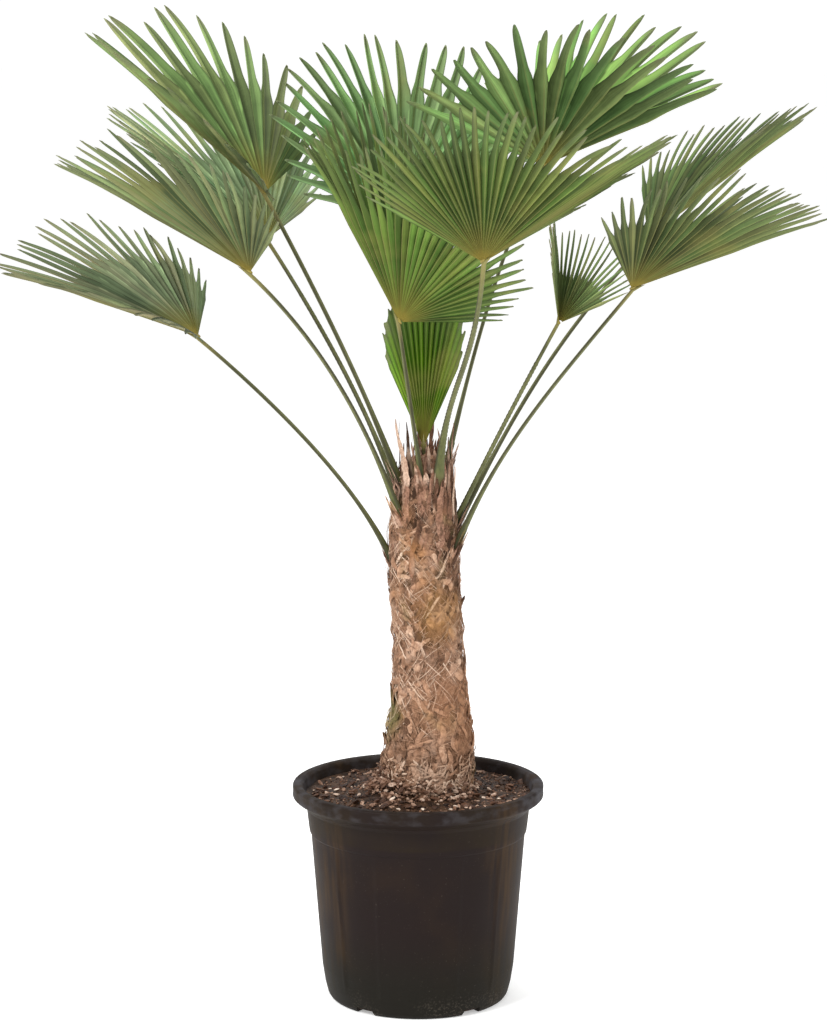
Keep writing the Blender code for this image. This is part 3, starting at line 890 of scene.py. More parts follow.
@dataclass
class Soil:
    """The compost: a heaped, crumbly top with chips of bark and wood lying on it."""

    pot: Pot
    edge_height: float = 0.313
    heap: float = 0.014
    heap_radius: float = 0.095
    even_radius: float = 0.171
    lump: float = 0.004
    crumb: float = 0.0022
    gap: float = 0.0003
    rings: int = 46
    segments: int = 150
    trunk_x: float = 0.006
    pile_height: float = 0.046
    pile_radius: float = 0.060
    pile_width: float = 0.014
    finish: LooseSoil = field(default_factory=lambda: LooseSoil("compost"))

    def top(self, x: np.ndarray, y: np.ndarray) -> np.ndarray:
        """Return the soil's height at places.

        Args:
            x: Places along X.
            y: Places along Y.

        Returns:
            The height at each place.
        """
        radius = np.hypot(x, y)
        flat = np.stack([x, y, np.full_like(x, 0.3)], axis=-1)
        inside = np.clip((self.even_radius - radius) / 0.01, 0.0, 1.0)
        lumps = self.lump * grain(flat, 34.0) + self.crumb * grain(flat, 120.0, 3.0)
        return self.edge_height + self.heap * np.exp(-((radius / self.heap_radius) ** 4)) + lumps * inside

    def build_bed(self) -> None:
        """Build the body of the soil."""
        wall = [(radius - self.gap, max(height, self.pot.floor + self.gap))
                for radius, height in self.pot.inner_wall()[:5]]
        low, high = self.pot.inner_wall()[4:6]
        share = (self.edge_height - low[1]) / (high[1] - low[1])
        rim = low[0] + share * (high[0] - low[0]) - self.gap
        top = [(rim * (1.0 - ring / self.rings), self.edge_height) for ring in range(self.rings + 1)]
        thing = turned("soil_bed", [(0.0, self.pot.floor + self.gap), *wall, *top], self.segments)
        places = corners(thing)
        upper = places[:, 2] > self.edge_height - 0.0005
        places[upper, 2] = self.top(places[upper, 0], places[upper, 1])
        set_corners(thing, places)
        soften(thing, 50.0)
        thing.data.materials.append(self.finish.material())
        deliver(thing, Slot.SOIL, "soil")

    def scatter(self, name: str, seed: int, count: int, length: Span, flatness: float, tones: Span,
                subdivisions: int = 2, ring: Span = (0.058, 0.165)) -> bpy.types.Object:
        """Scatter one kind of chip over the soil.

        Args:
            name: The piece's name.
            seed: Of the draws.
            count: How many chips.
            length: The shortest and the longest chip.
            flatness: A chip's thickness as a share of its length.
            tones: The darkest and the lightest chip.
            subdivisions: Of each chip's starting ball.
            ring: The least and the greatest distance from the pot's axis.

        Returns:
            The chips as one piece.
        """
        draws = np.random.default_rng(seed)
        apart = 4.0
        thing = added(name, bpy.ops.mesh.primitive_ico_sphere_add, subdivisions=subdivisions, radius=0.5)
        ball = corners(thing)
        repeat(thing, count, apart)
        places = corners(thing)
        which = np.rint(places[:, 2] / apart).astype(int)
        places[:, 2] -= apart * which
        rough = draws.uniform(0.72, 1.25, (count, len(ball)))
        nearest = np.argmin(((places[:, None, :] - ball[None, :, :]) ** 2).sum(axis=2), axis=1)
        places *= rough[which, nearest][:, None]
        size = length[0] + (length[1] - length[0]) * draws.uniform(0.0, 1.0, count) ** 2.0
        scale = np.stack([size, size * draws.uniform(0.35, 0.8, count), size * flatness], axis=1)
        places *= scale[which]
        tilt = draws.normal(0.0, 0.38, (count, 2))
        turn = draws.uniform(0.0, math.tau, count)
        radius = np.sqrt(draws.uniform(ring[0] ** 2, ring[1] ** 2, count))
        bearing = draws.uniform(0.0, math.tau, count)
        x, y = radius * np.cos(bearing) + self.trunk_x, radius * np.sin(bearing)
        near = np.exp(-(((radius - self.pile_radius) / self.pile_width) ** 2))
        piled = self.pile_height * near * draws.uniform(0.0, 1.0, count)
        centre = np.stack([x, y, self.top(x, y) + size * flatness * 0.25 + piled], axis=1)
        ahead = unit(np.stack([np.cos(turn), np.sin(turn), tilt[:, 0]], axis=1))
        side = unit(np.stack([-np.sin(turn), np.cos(turn), tilt[:, 1]], axis=1))
        upper = unit(np.cross(ahead, side))
        side = np.cross(upper, ahead)
        placed = centre[which] + ahead[which] * places[:, :1] + side[which] * places[:, 1:2]
        set_corners(thing, placed + upper[which] * places[:, 2:])
        faces = len(thing.data.polygons) // count
        tag(thing, "tone", np.repeat(draws.uniform(*tones, count), faces), "FACE")
        soften(thing, 25.0)
        return thing

    def build_chips(self) -> None:
        """Build the bark, wood, crumbs and lumps of fibre that lie on the soil."""
        parts = [
            self.scatter("bark_chips", seed=11, count=380, length=(0.006, 0.018), flatness=0.30,
                         tones=(0.00, 0.58)),
            self.scatter("wood_chips", seed=12, count=190, length=(0.005, 0.013), flatness=0.34,
                         tones=(0.58, 1.00)),
            self.scatter("crumbs", seed=13, count=2000, length=(0.0018, 0.0054), flatness=0.60,
                         tones=(0.00, 0.78), subdivisions=1),
            self.scatter("fibre_lumps", seed=14, count=760, length=(0.004, 0.014), flatness=0.50,
                         tones=(0.34, 0.86), ring=(0.059, 0.086)),
        ]
        thing = joined("soil_chips", parts)
        thing.data.materials.append(BarkChip("bark_chip").material())
        deliver(thing, Slot.SOIL)


@dataclass
class Trunk:
    """The trunk: a rough core wrapped in matted fibre, with the stumps of old leaves."""

    plain_top: float = 0.338
    profile: tuple[Span, ...] = (
        (0.215, 0.056), (0.270, 0.061), (0.338, 0.066), (0.380, 0.067), (0.410, 0.064), (0.440, 0.058),
        (0.470, 0.054), (0.540, 0.051), (0.620, 0.050), (0.680, 0.050), (0.730, 0.047), (0.780, 0.040),
        (0.805, 0.034), (0.822, 0.025), (0.829, 0.012),
    )
    lean: tuple[Span, ...] = (
        (0.338, 0.0140), (0.400, 0.0165), (0.460, 0.0175), (0.540, 0.0155), (0.620, 0.0110), (0.700, 0.0075),
        (0.780, 0.0095), (0.830, 0.0110),
    )
    relief_fade: float = 0.03
    roughness: float = 0.0042
    weave: float = 0.0016
    columns: int = 168
    rows: int = 190
    fibre_low: float = 0.318
    fibre_high: float = 0.826
    # Height of the middle, bearing in degrees, length, and lean off the trunk in degrees
    stubs: tuple[tuple[float, float, float, float], ...] = (
        (0.395, 178, 0.026, 24), (0.415, 5, 0.024, 24), (0.470, 186, 0.034, 24), (0.450, 300, 0.026, 24),
        (0.525, 172, 0.022, 24), (0.505, 60, 0.028, 24), (0.560, 255, 0.026, 24), (0.585, 120, 0.028, 24),
        (0.600, 358, 0.040, 24), (0.615, 184, 0.034, 24), (0.540, 330, 0.022, 24), (0.440, 100, 0.026, 24),
        (0.430, 240, 0.026, 24), (0.640, 285, 0.024, 24), (0.650, 75, 0.024, 24), (0.447, 193, 0.072, 7),
        (0.492, 351, 0.078, 6), (0.418, 353, 0.040, 8),
    )
    stub_width: float = 0.011
    mat: PalmFibre = field(default_factory=lambda: PalmFibre("trunk_mat", (
        (0.05, (0.085, 0.042, 0.024)),
        (0.35, (0.225, 0.118, 0.068)),
        (0.60, (0.375, 0.210, 0.130)),
        (0.95, (0.580, 0.395, 0.280)),
    )))
    strand: PalmFibre = field(default_factory=lambda: PalmFibre("trunk_strand", (
        (0.05, (0.120, 0.062, 0.036)),
        (0.35, (0.275, 0.150, 0.090)),
        (0.65, (0.450, 0.280, 0.185)),
        (0.95, (0.680, 0.510, 0.385)),
    ), pale=(0.60, 0.425, 0.315), grain_scale=420.0, contrast=0.6, relief=0.0006))

    def radius(self, height: np.ndarray) -> np.ndarray:
        """Return the trunk's mean radius at heights."""
        heights, radii = zip(*self.profile)
        return np.interp(height, heights, radii)

    def coarseness(self, height: np.ndarray) -> np.ndarray:
        """Return the share of its relief that the trunk has at heights: none on its plain foot or its point."""
        risen = np.clip((height - self.plain_top) / self.relief_fade, 0.0, 1.0)
        return risen * np.minimum(1.0, self.radius(height) / self.relief_fade)

    def middle(self, height: np.ndarray) -> np.ndarray:
        """Return the points of the slightly leaning axis at heights."""
        return np.stack([np.interp(height, *zip(*self.lean)), np.zeros_like(height), height], axis=-1)

    def outward(self, places: np.ndarray) -> np.ndarray:
        """Return the level directions from the axis to places."""
        return unit((places - self.middle(places[..., 2])) * np.array([1.0, 1.0, 0.0]))

    def surface(self, bearing: np.ndarray, height: np.ndarray, lift: np.ndarray | float = 0.0) -> np.ndarray:
        """Return places on or over the trunk's rough surface.

        Args:
            bearing: In radians.
            height: In metres.
            lift: How far off the surface.

        Returns:
            The places.
        """
        mean = self.radius(height)
        rough = self.coarseness(height)
        way = np.stack([np.cos(bearing), np.sin(bearing), np.zeros_like(bearing)], axis=-1)
        bump = grain(np.stack([way[..., 0] * 2.1, way[..., 1] * 2.1, height * 34.0], axis=-1), 1.0)
        right, left = (np.abs(np.sin(4.0 * bearing + slope * height)) for slope in (75.0, -75.0))
        woven = right + left
        radius = mean + rough * (self.roughness * bump + self.weave * (woven - 1.0)) + lift
        return self.middle(height) + way * radius[..., None]

    def build_core(self) -> bpy.types.Object:
        """Roll a sheet round the trunk's axis and roughen it.

        Returns:
            The core.
        """
        foot, crown = self.profile[0][0], self.profile[-1][0]
        heights = np.concatenate([[foot], np.linspace(foot, crown, self.rows - 1), [crown + 0.004]])
        turn = np.linspace(0.0, math.tau, self.columns + 1)
        turn[-1] = 0.0
        height, bearing = np.meshgrid(heights, turn, indexing="ij")
        places = self.surface(bearing, height)
        stretched = places * np.array([1.0, 1.0, 0.60])
        lumps = 0.0020 * grain(stretched, 48.0, 2.0) + 0.0024 * grain(stretched, 100.0, 5.0)
        fine = lumps + 0.0014 * grain(stretched, 260.0, 9.0)
        places += self.outward(places) * (self.coarseness(height) * (fine - 0.0016))[..., None]
        for row in (0, -1):
            places[row] = self.middle(heights[row])
        sheets = Sheets("trunk_core", self.columns, self.rows)
        sheets.place(places[None])
        sheets.tag("tone", np.clip(0.40 + 90.0 * fine, 0.0, 0.9)[None])
        weld(sheets.thing)
        soften(sheets.thing, 70.0)
        sheets.thing.data.materials.append(self.mat.material())
        return sheets.thing

    def build_stubs(self) -> bpy.types.Object:
        """Build the stumps of old leaf stalks, broken off short.

        Returns:
            The stumps as one piece.
        """
        draws = random.Random(7)
        lines, ups, wide, deep = [], [], [], []
        steps = np.linspace(-0.5, 0.5, 9)
        for height, degrees, length, tilt in self.stubs:
            bearing = math.radians(degrees + draws.uniform(-4.0, 4.0))
            lean = math.radians(tilt + draws.uniform(-3.0, 3.0))
            way = np.array([math.cos(bearing), math.sin(bearing), 0.0])
            along = way * math.sin(lean) + np.array([0.0, 0.0, math.cos(lean)])
            radius = float(self.radius(np.array(height)))
            middle = self.middle(np.array(height)) + way * (radius - 0.001)
            lines.append(middle + along * (steps * length)[:, None] + way * (0.003 * steps ** 2)[:, None])
            ups.append(np.tile(way, (len(steps), 1)))
            share = steps + 0.5
            width = self.stub_width * (1.0 - 0.70 * share)
            width[-2] *= 0.9
            width[0] = width[-1] = 0.0
            wide.append(width)
            deep.append(width * 0.45)
        thing = swept("leaf_stumps", np.array(lines), np.array(ups), np.array(wide), np.array(deep), columns=10,
                      tones=np.linspace(0.10, 0.55, len(lines)))
        places = corners(thing)
        places += 0.0009 * np.stack([grain(places, 330.0, seed) for seed in (1.0, 4.0, 8.0)], axis=1)
        set_corners(thing, places)
        thing.data.materials.append(self.mat.material())
        return thing

    def strands(self, name: str, seed: int, count: int, length: Span, heading: Span, wide: Span, thin: float,
                lift: Span, tones: Span, heights: Span, columns: int, bend: float,
                stray: float = 0.0) -> bpy.types.Object:
        """Lay fibres over the trunk, each bent to its surface.

        Args:
            name: The piece's name.
            seed: Of the draws.
            count: How many fibres.
            length: The shortest and the longest.
            heading: Their mean angle from upright and its spread, in degrees, either way.
            wide: The least and the most half width.
            thin: Half thickness as a share of half width.
            lift: The least and the most height off the surface.
            tones: The darkest and the lightest.
            heights: The lowest and the highest start.
            columns: Faces round each fibre.
            bend: How far their heading wavers, in radians.
            stray: How far the loose end may stand off.

        Returns:
            The fibres as one piece.
        """
        draws = np.random.default_rng(seed)
        share = np.linspace(0.0, 1.0, 10)[None, :]
        run = draws.uniform(*length, count)[:, None]
        sign = np.where(draws.uniform(0.0, 1.0, count) < 0.5, -1.0, 1.0)
        angle = np.radians(sign * draws.normal(heading[0], heading[1], count))[:, None]
        start = draws.uniform(*heights, count)[:, None]
        waver = draws.normal(0.0, bend, (count, 1)) * np.sin(share * math.pi * 1.5)
        height = np.clip(start + run * share * np.cos(angle + waver), self.fibre_low, self.fibre_high)
        round_by = run * share * np.sin(angle + waver) / self.radius(height)
        bearing = draws.uniform(0.0, math.tau, count)[:, None] + round_by
        off = draws.uniform(*lift, count)[:, None] + 0.0015 * np.sin(share * math.pi)
        loose = draws.uniform(0.0, 1.0, count)[:, None] ** 3 * stray * share ** 2
        line = self.surface(bearing, height, off + loose)
        width = draws.uniform(*wide, count)[:, None] * np.sin(share * math.pi) ** 0.35
        width[:, 0] = width[:, -1] = 0.0
        return swept(name, line, self.outward(line), width, width * thin, columns, draws.uniform(*tones, count))

    def build(self) -> None:
        """Build and dress the core with its stumps, the mats and the fibres."""
        core = joined("trunk_core", [self.build_core(), self.build_stubs()])
        mats = self.strands("trunk_mats", seed=21, count=520, length=(0.014, 0.045), heading=(34.0, 26.0),
                            wide=(0.0022, 0.0060), thin=0.30, lift=(-0.0014, 0.0008), tones=(0.08, 0.78),
                            heights=(0.325, 0.790), columns=8, bend=0.15)
        mats.data.materials.append(self.mat.material())
        parts = [
            self.strands("loose_fibres", seed=22, count=2150, length=(0.010, 0.040), heading=(36.0, 34.0),
                         wide=(0.00027, 0.00060), thin=0.8, lift=(-0.0006, 0.0012), tones=(0.05, 0.62),
                         heights=(0.325, 0.800), columns=3, bend=0.12, stray=0.005),
            self.strands("woven_fibres", seed=24, count=1150, length=(0.020, 0.070), heading=(37.0, 9.0),
                         wide=(0.0003, 0.00075), thin=0.7, lift=(-0.0003, 0.0011), tones=(0.30, 0.92),
                         heights=(0.400, 0.790), columns=3, bend=0.06),
            self.strands("bold_cords", seed=23, count=26, length=(0.030, 0.070), heading=(37.0, 12.0),
                         wide=(0.0008, 0.0013), thin=0.5, lift=(0.0000, 0.0010), tones=(0.60, 0.90),
                         heights=(0.440, 0.760), columns=4, bend=0.06),
            self.strands("pale_bands", seed=26, count=9, length=(0.055, 0.090), heading=(37.0, 5.0),
                         wide=(0.0014, 0.0023), thin=0.30, lift=(-0.0002, 0.0008), tones=(0.78, 0.92),
                         heights=(0.500, 0.730), columns=6, bend=0.05),
            self.strands("foot_fibres", seed=25, count=560, length=(0.008, 0.024), heading=(42.0, 34.0),
                         wide=(0.0005, 0.0022), thin=0.4, lift=(0.0000, 0.0026), tones=(0.15, 0.85),
                         heights=(0.318, 0.372), columns=4, bend=0.10, stray=0.004),
        ]
        fibres = joined("trunk_fibres", parts)
        fibres.data.materials.append(self.strand.material())
        deliver(core, Slot.TRUNK, "trunk")
        deliver(mats, Slot.TRUNK)
        deliver(fibres, Slot.TRUNK)


@dataclass
class CrownFibre:
    """The torn sheaths, wraps and hairs round the leaf stalks' feet."""

    trunk: Trunk
    stalks: Sequence[tuple[Spot, Spot]]
    tatters: int = 120
    hairs: int = 260
    cone: tuple[Span, ...] = (
        (0.640, 0.0515), (0.700, 0.0505), (0.750, 0.0460), (0.800, 0.0400), (0.850, 0.0345), (0.920, 0.0300),
    )
    # Foot and tip as bearing in degrees, distance from the axis and height, then half width and tone
    sheaths: tuple[tuple[Spot, Spot, float, float], ...] = (
        ((234, 0.0430, 0.785), (214, 0.0540, 0.888), 0.0068, 0.88),
        ((246, 0.0370, 0.760), (227, 0.0440, 0.884), 0.0060, 0.02),
        ((252, 0.0300, 0.780), (240, 0.0300, 0.868), 0.0050, 0.10),
        ((228, 0.0480, 0.700), (232, 0.0430, 0.818), 0.0110, 0.62),
        ((252, 0.0475, 0.722), (250, 0.0400, 0.812), 0.0045, 0.00),
        ((266, 0.0490, 0.700), (268, 0.0370, 0.832), 0.0090, 0.58),
        ((280, 0.0500, 0.690), (276, 0.0400, 0.800), 0.0070, 0.40),
        ((300, 0.0490, 0.690), (306, 0.0420, 0.790), 0.0080, 0.66),
        ((298, 0.0490, 0.712), (301, 0.0500, 0.806), 0.0078, 0.52),
        ((308, 0.0485, 0.705), (309, 0.0490, 0.792), 0.0062, 0.34),
        ((322, 0.0480, 0.700), (325, 0.0440, 0.822), 0.0075, 0.50),
        ((338, 0.0485, 0.695), (337, 0.0470, 0.815), 0.0048, 1.00),
        ((312, 0.0350, 0.770), (318, 0.0370, 0.872), 0.0050, 0.22),
        ((326, 0.0370, 0.765), (330, 0.0400, 0.860), 0.0055, 0.12),
        ((340, 0.0400, 0.760), (343, 0.0430, 0.880), 0.0035, 0.30),
        ((200, 0.0480, 0.690), (197, 0.0470, 0.790), 0.0090, 0.55),
        ((180, 0.0470, 0.700), (176, 0.0440, 0.820), 0.0075, 0.35),
        ((20, 0.0480, 0.700), (16, 0.0430, 0.820), 0.0085, 0.45),
        ((60, 0.0480, 0.700), (64, 0.0380, 0.840), 0.0090, 0.35),
        ((100, 0.0480, 0.700), (96, 0.0360, 0.850), 0.0085, 0.50),
        ((140, 0.0480, 0.700), (146, 0.0400, 0.845), 0.0090, 0.30),
    )
    dark: PalmFibre = field(default_factory=lambda: PalmFibre("crown_fibre", (
        (0.05, (0.040, 0.019, 0.010)),
        (0.30, (0.130, 0.062, 0.036)),
        (0.60, (0.310, 0.165, 0.108)),
        (0.95, (0.620, 0.440, 0.330)),
    ), pale=(0.60, 0.425, 0.315), grain_scale=260.0, contrast=0.9, relief=0.0010))

    def round_axis(self, bearing: np.ndarray, reach: np.ndarray, height: np.ndarray) -> np.ndarray:
        """Return places at bearings and distances round the trunk's axis."""
        level = np.stack([np.cos(bearing), np.sin(bearing), np.zeros_like(bearing)], axis=-1)
        return self.trunk.middle(height) + level * reach[..., None]

    def rising(self, name: str, seed: int, count: int, length: Span, wide: Span, thin: float, lean: Span,
               columns: int) -> bpy.types.Object:
        """Stand strips up from the trunk's top, most of them round the feet of the stalks.

        Args:
            name: The piece's name.
            seed: Of the draws.
            count: How many strips.
            length: The shortest and the longest.
            wide: The least and the most half width.
            thin: Half thickness as a share of half width.
            lean: How far a tip may lean in and out, for its length.
            columns: Faces round each strip.

        Returns:
            The strips as one piece.
        """
        draws = np.random.default_rng(seed)
        share = np.linspace(0.0, 1.0, 12)[None, :]
        run = draws.uniform(*length, count)[:, None]
        foot = np.array(self.stalks)[draws.integers(0, len(self.stalks), count), 0]
        away = foot - self.trunk.middle(foot[:, 2])
        near = np.arctan2(away[:, 1], away[:, 0]) + draws.normal(0.0, 0.30, count)
        loose = draws.uniform(0.0, 1.0, count) < 0.4
        bearing = np.where(loose, draws.uniform(0.0, math.tau, count), near)[:, None]
        anywhere = draws.uniform(0.640, 0.790, count)
        low = np.where(loose, anywhere, foot[:, 2] + draws.uniform(-0.045, 0.0, count))
        drift = draws.normal(0.0, 0.28, (count, 1)) * share
        wave = draws.normal(0.0, 0.0020, (count, 1)) * np.sin(share * math.pi * 2.0)
        out = draws.uniform(*lean, count)[:, None] * run * share ** 1.6
        height = low[:, None] + run * share
        held = np.interp(height, *zip(*self.cone)) * draws.uniform(0.70, 1.06, (count, 1))
        line = self.round_axis(bearing + drift, held + out + wave + 0.001, height)
        width = draws.uniform(*wide, count)[:, None] * (1.0 - share) ** 0.45 * (0.35 + 0.65 * share ** 0.3)
        width *= 1.0 + 0.25 * np.sin(share * 17.0 + bearing * 5.0)
        width[:, 0] = width[:, -1] = 0.0
        return swept(name, line, self.trunk.outward(line), width, width * thin, columns,
                     draws.uniform(0.05, 0.80, count))

    def wraps(self, each: int = 16) -> bpy.types.Object:
        """Lay fibre up the foot of every stalk from the trunk's surface.

        Args:
            each: How many strips a stalk has.

        Returns:
            The strips as one piece.
        """
        draws = np.random.default_rng(35)
        searched, under = 0.16, 0.034
        share = np.linspace(0.0, 1.0, 14)
        lines, ups, wide, tones = [], [], [], []
        for root, knee in self.stalks:
            foot, way = np.array(root), unit(np.array(knee) - np.array(root))
            steps = foot + way * np.linspace(0.0, searched, 60)[:, None]
            apart = np.linalg.norm((steps - self.trunk.middle(steps[:, 2]))[:, :2], axis=1) + 0.006
            clear = np.nonzero(apart > self.trunk.radius(steps[:, 2]))[0]
            leaves = searched * (clear[0] if len(clear) else 20) / 59.0
            for _ in range(each):
                run = leaves - under + share * (under + draws.uniform(0.006, 0.052))
                place = foot + way * run[:, None]
                out = self.trunk.outward(place)
                side = np.stack([-out[:, 1], out[:, 0], np.zeros_like(share)], axis=1)
                turn = draws.uniform(-1.4, 1.4) + share * draws.normal(0.0, 0.3)
                place = place + side * (np.sin(turn) * 0.0095)[:, None] + out * (np.cos(turn) * 0.0082)[:, None]
                out = self.trunk.outward(place)
                middle = self.trunk.middle(place[:, 2])
                apart = np.linalg.norm((place - middle)[:, :2], axis=1)
                reach = np.maximum(apart, self.trunk.radius(place[:, 2])) + 0.0006 + 0.004 * share ** 4
                lines.append(middle + out * reach[:, None])
                ups.append(out)
                width = draws.uniform(0.0010, 0.0050) * np.sin(np.clip(share, 0.02, 0.98) * math.pi) ** 0.5
                width[0] = width[-1] = 0.0
                wide.append(width)
                tones.append(draws.uniform(0.10, 0.95))
        wide = np.array(wide)
        return swept("stalk_wraps", np.array(lines), np.array(ups), wide, wide * 0.25, columns=6,
                     tones=np.array(tones))

    def placed(self) -> bpy.types.Object:
        """Wrap the broad sheaths that show between the stalks.

        Returns:
            The sheaths as one piece.
        """
        share = np.linspace(0.0, 1.0, 22)[None, :]
        ends = np.array([[foot, tip] for foot, tip, _, _ in self.sheaths])
        way = ends[:, :1] + (ends[:, 1:] - ends[:, :1]) * share[..., None]
        phase = np.arange(len(ends))[:, None] * 1.7
        reach = way[..., 1] + 0.0010 * np.sin(share * 9.0 + phase)
        bearing = np.radians(way[..., 0]) + 0.03 * np.sin(share * 7.0 + phase)
        line = self.round_axis(bearing, reach, way[..., 2])
        full = np.array([width for _, _, width, _ in self.sheaths])[:, None]
        width = full * np.clip(1.15 * (1.0 - share), 0.0, 1.0) ** 0.6 * np.clip(share * 6.0, 0.0, 1.0) ** 0.5
        width *= 1.0 + 0.16 * np.sin(share * 23.0 + phase) + 0.10 * np.sin(share * 51.0 + 2.0 * phase)
        width[:, 0] = width[:, -1] = 0.0
        tones = np.array([tone for _, _, _, tone in self.sheaths])
        return swept("broad_sheaths", line, self.trunk.outward(line), width, 0.0007 + width * 0.12, columns=12,
                     tones=tones)

    def build(self) -> None:
        """Build and dress the crown's fibre."""
        parts = [
            self.rising("sheath_tatters", seed=31, count=self.tatters, length=(0.040, 0.105),
                        wide=(0.0022, 0.0065), thin=0.16, lean=(-0.06, 0.09), columns=8),
            self.rising("crown_hairs", seed=32, count=self.hairs, length=(0.030, 0.090),
                        wide=(0.0003, 0.0006), thin=0.9, lean=(-0.06, 0.16), columns=3),
            self.wraps(),
            self.placed(),
        ]
        thing = joined("crown_fibre", parts)
        thing.data.materials.append(self.dark.material())
        deliver(thing, Slot.TRUNK)


@dataclass
class FrondFinish:
    """The finishes that all fronds share."""

    upper: bpy.types.Material = field(default_factory=lambda: Leaf("leaf_upper").material())
    lower: bpy.types.Material = field(default_factory=lambda: Leaf(
        "leaf_lower", hub=(0.170, 0.135, 0.024), rib=(0.25, 0.23, 0.080), rib_share=0.55, fold_shade=-0.30,
        gloss=0.08, rough=0.68).material())
    stalk: bpy.types.Material = field(default_factory=lambda: Stalk("leaf_stalk").material())
    hastula: bpy.types.Material = field(default_factory=lambda: Hastula().material())


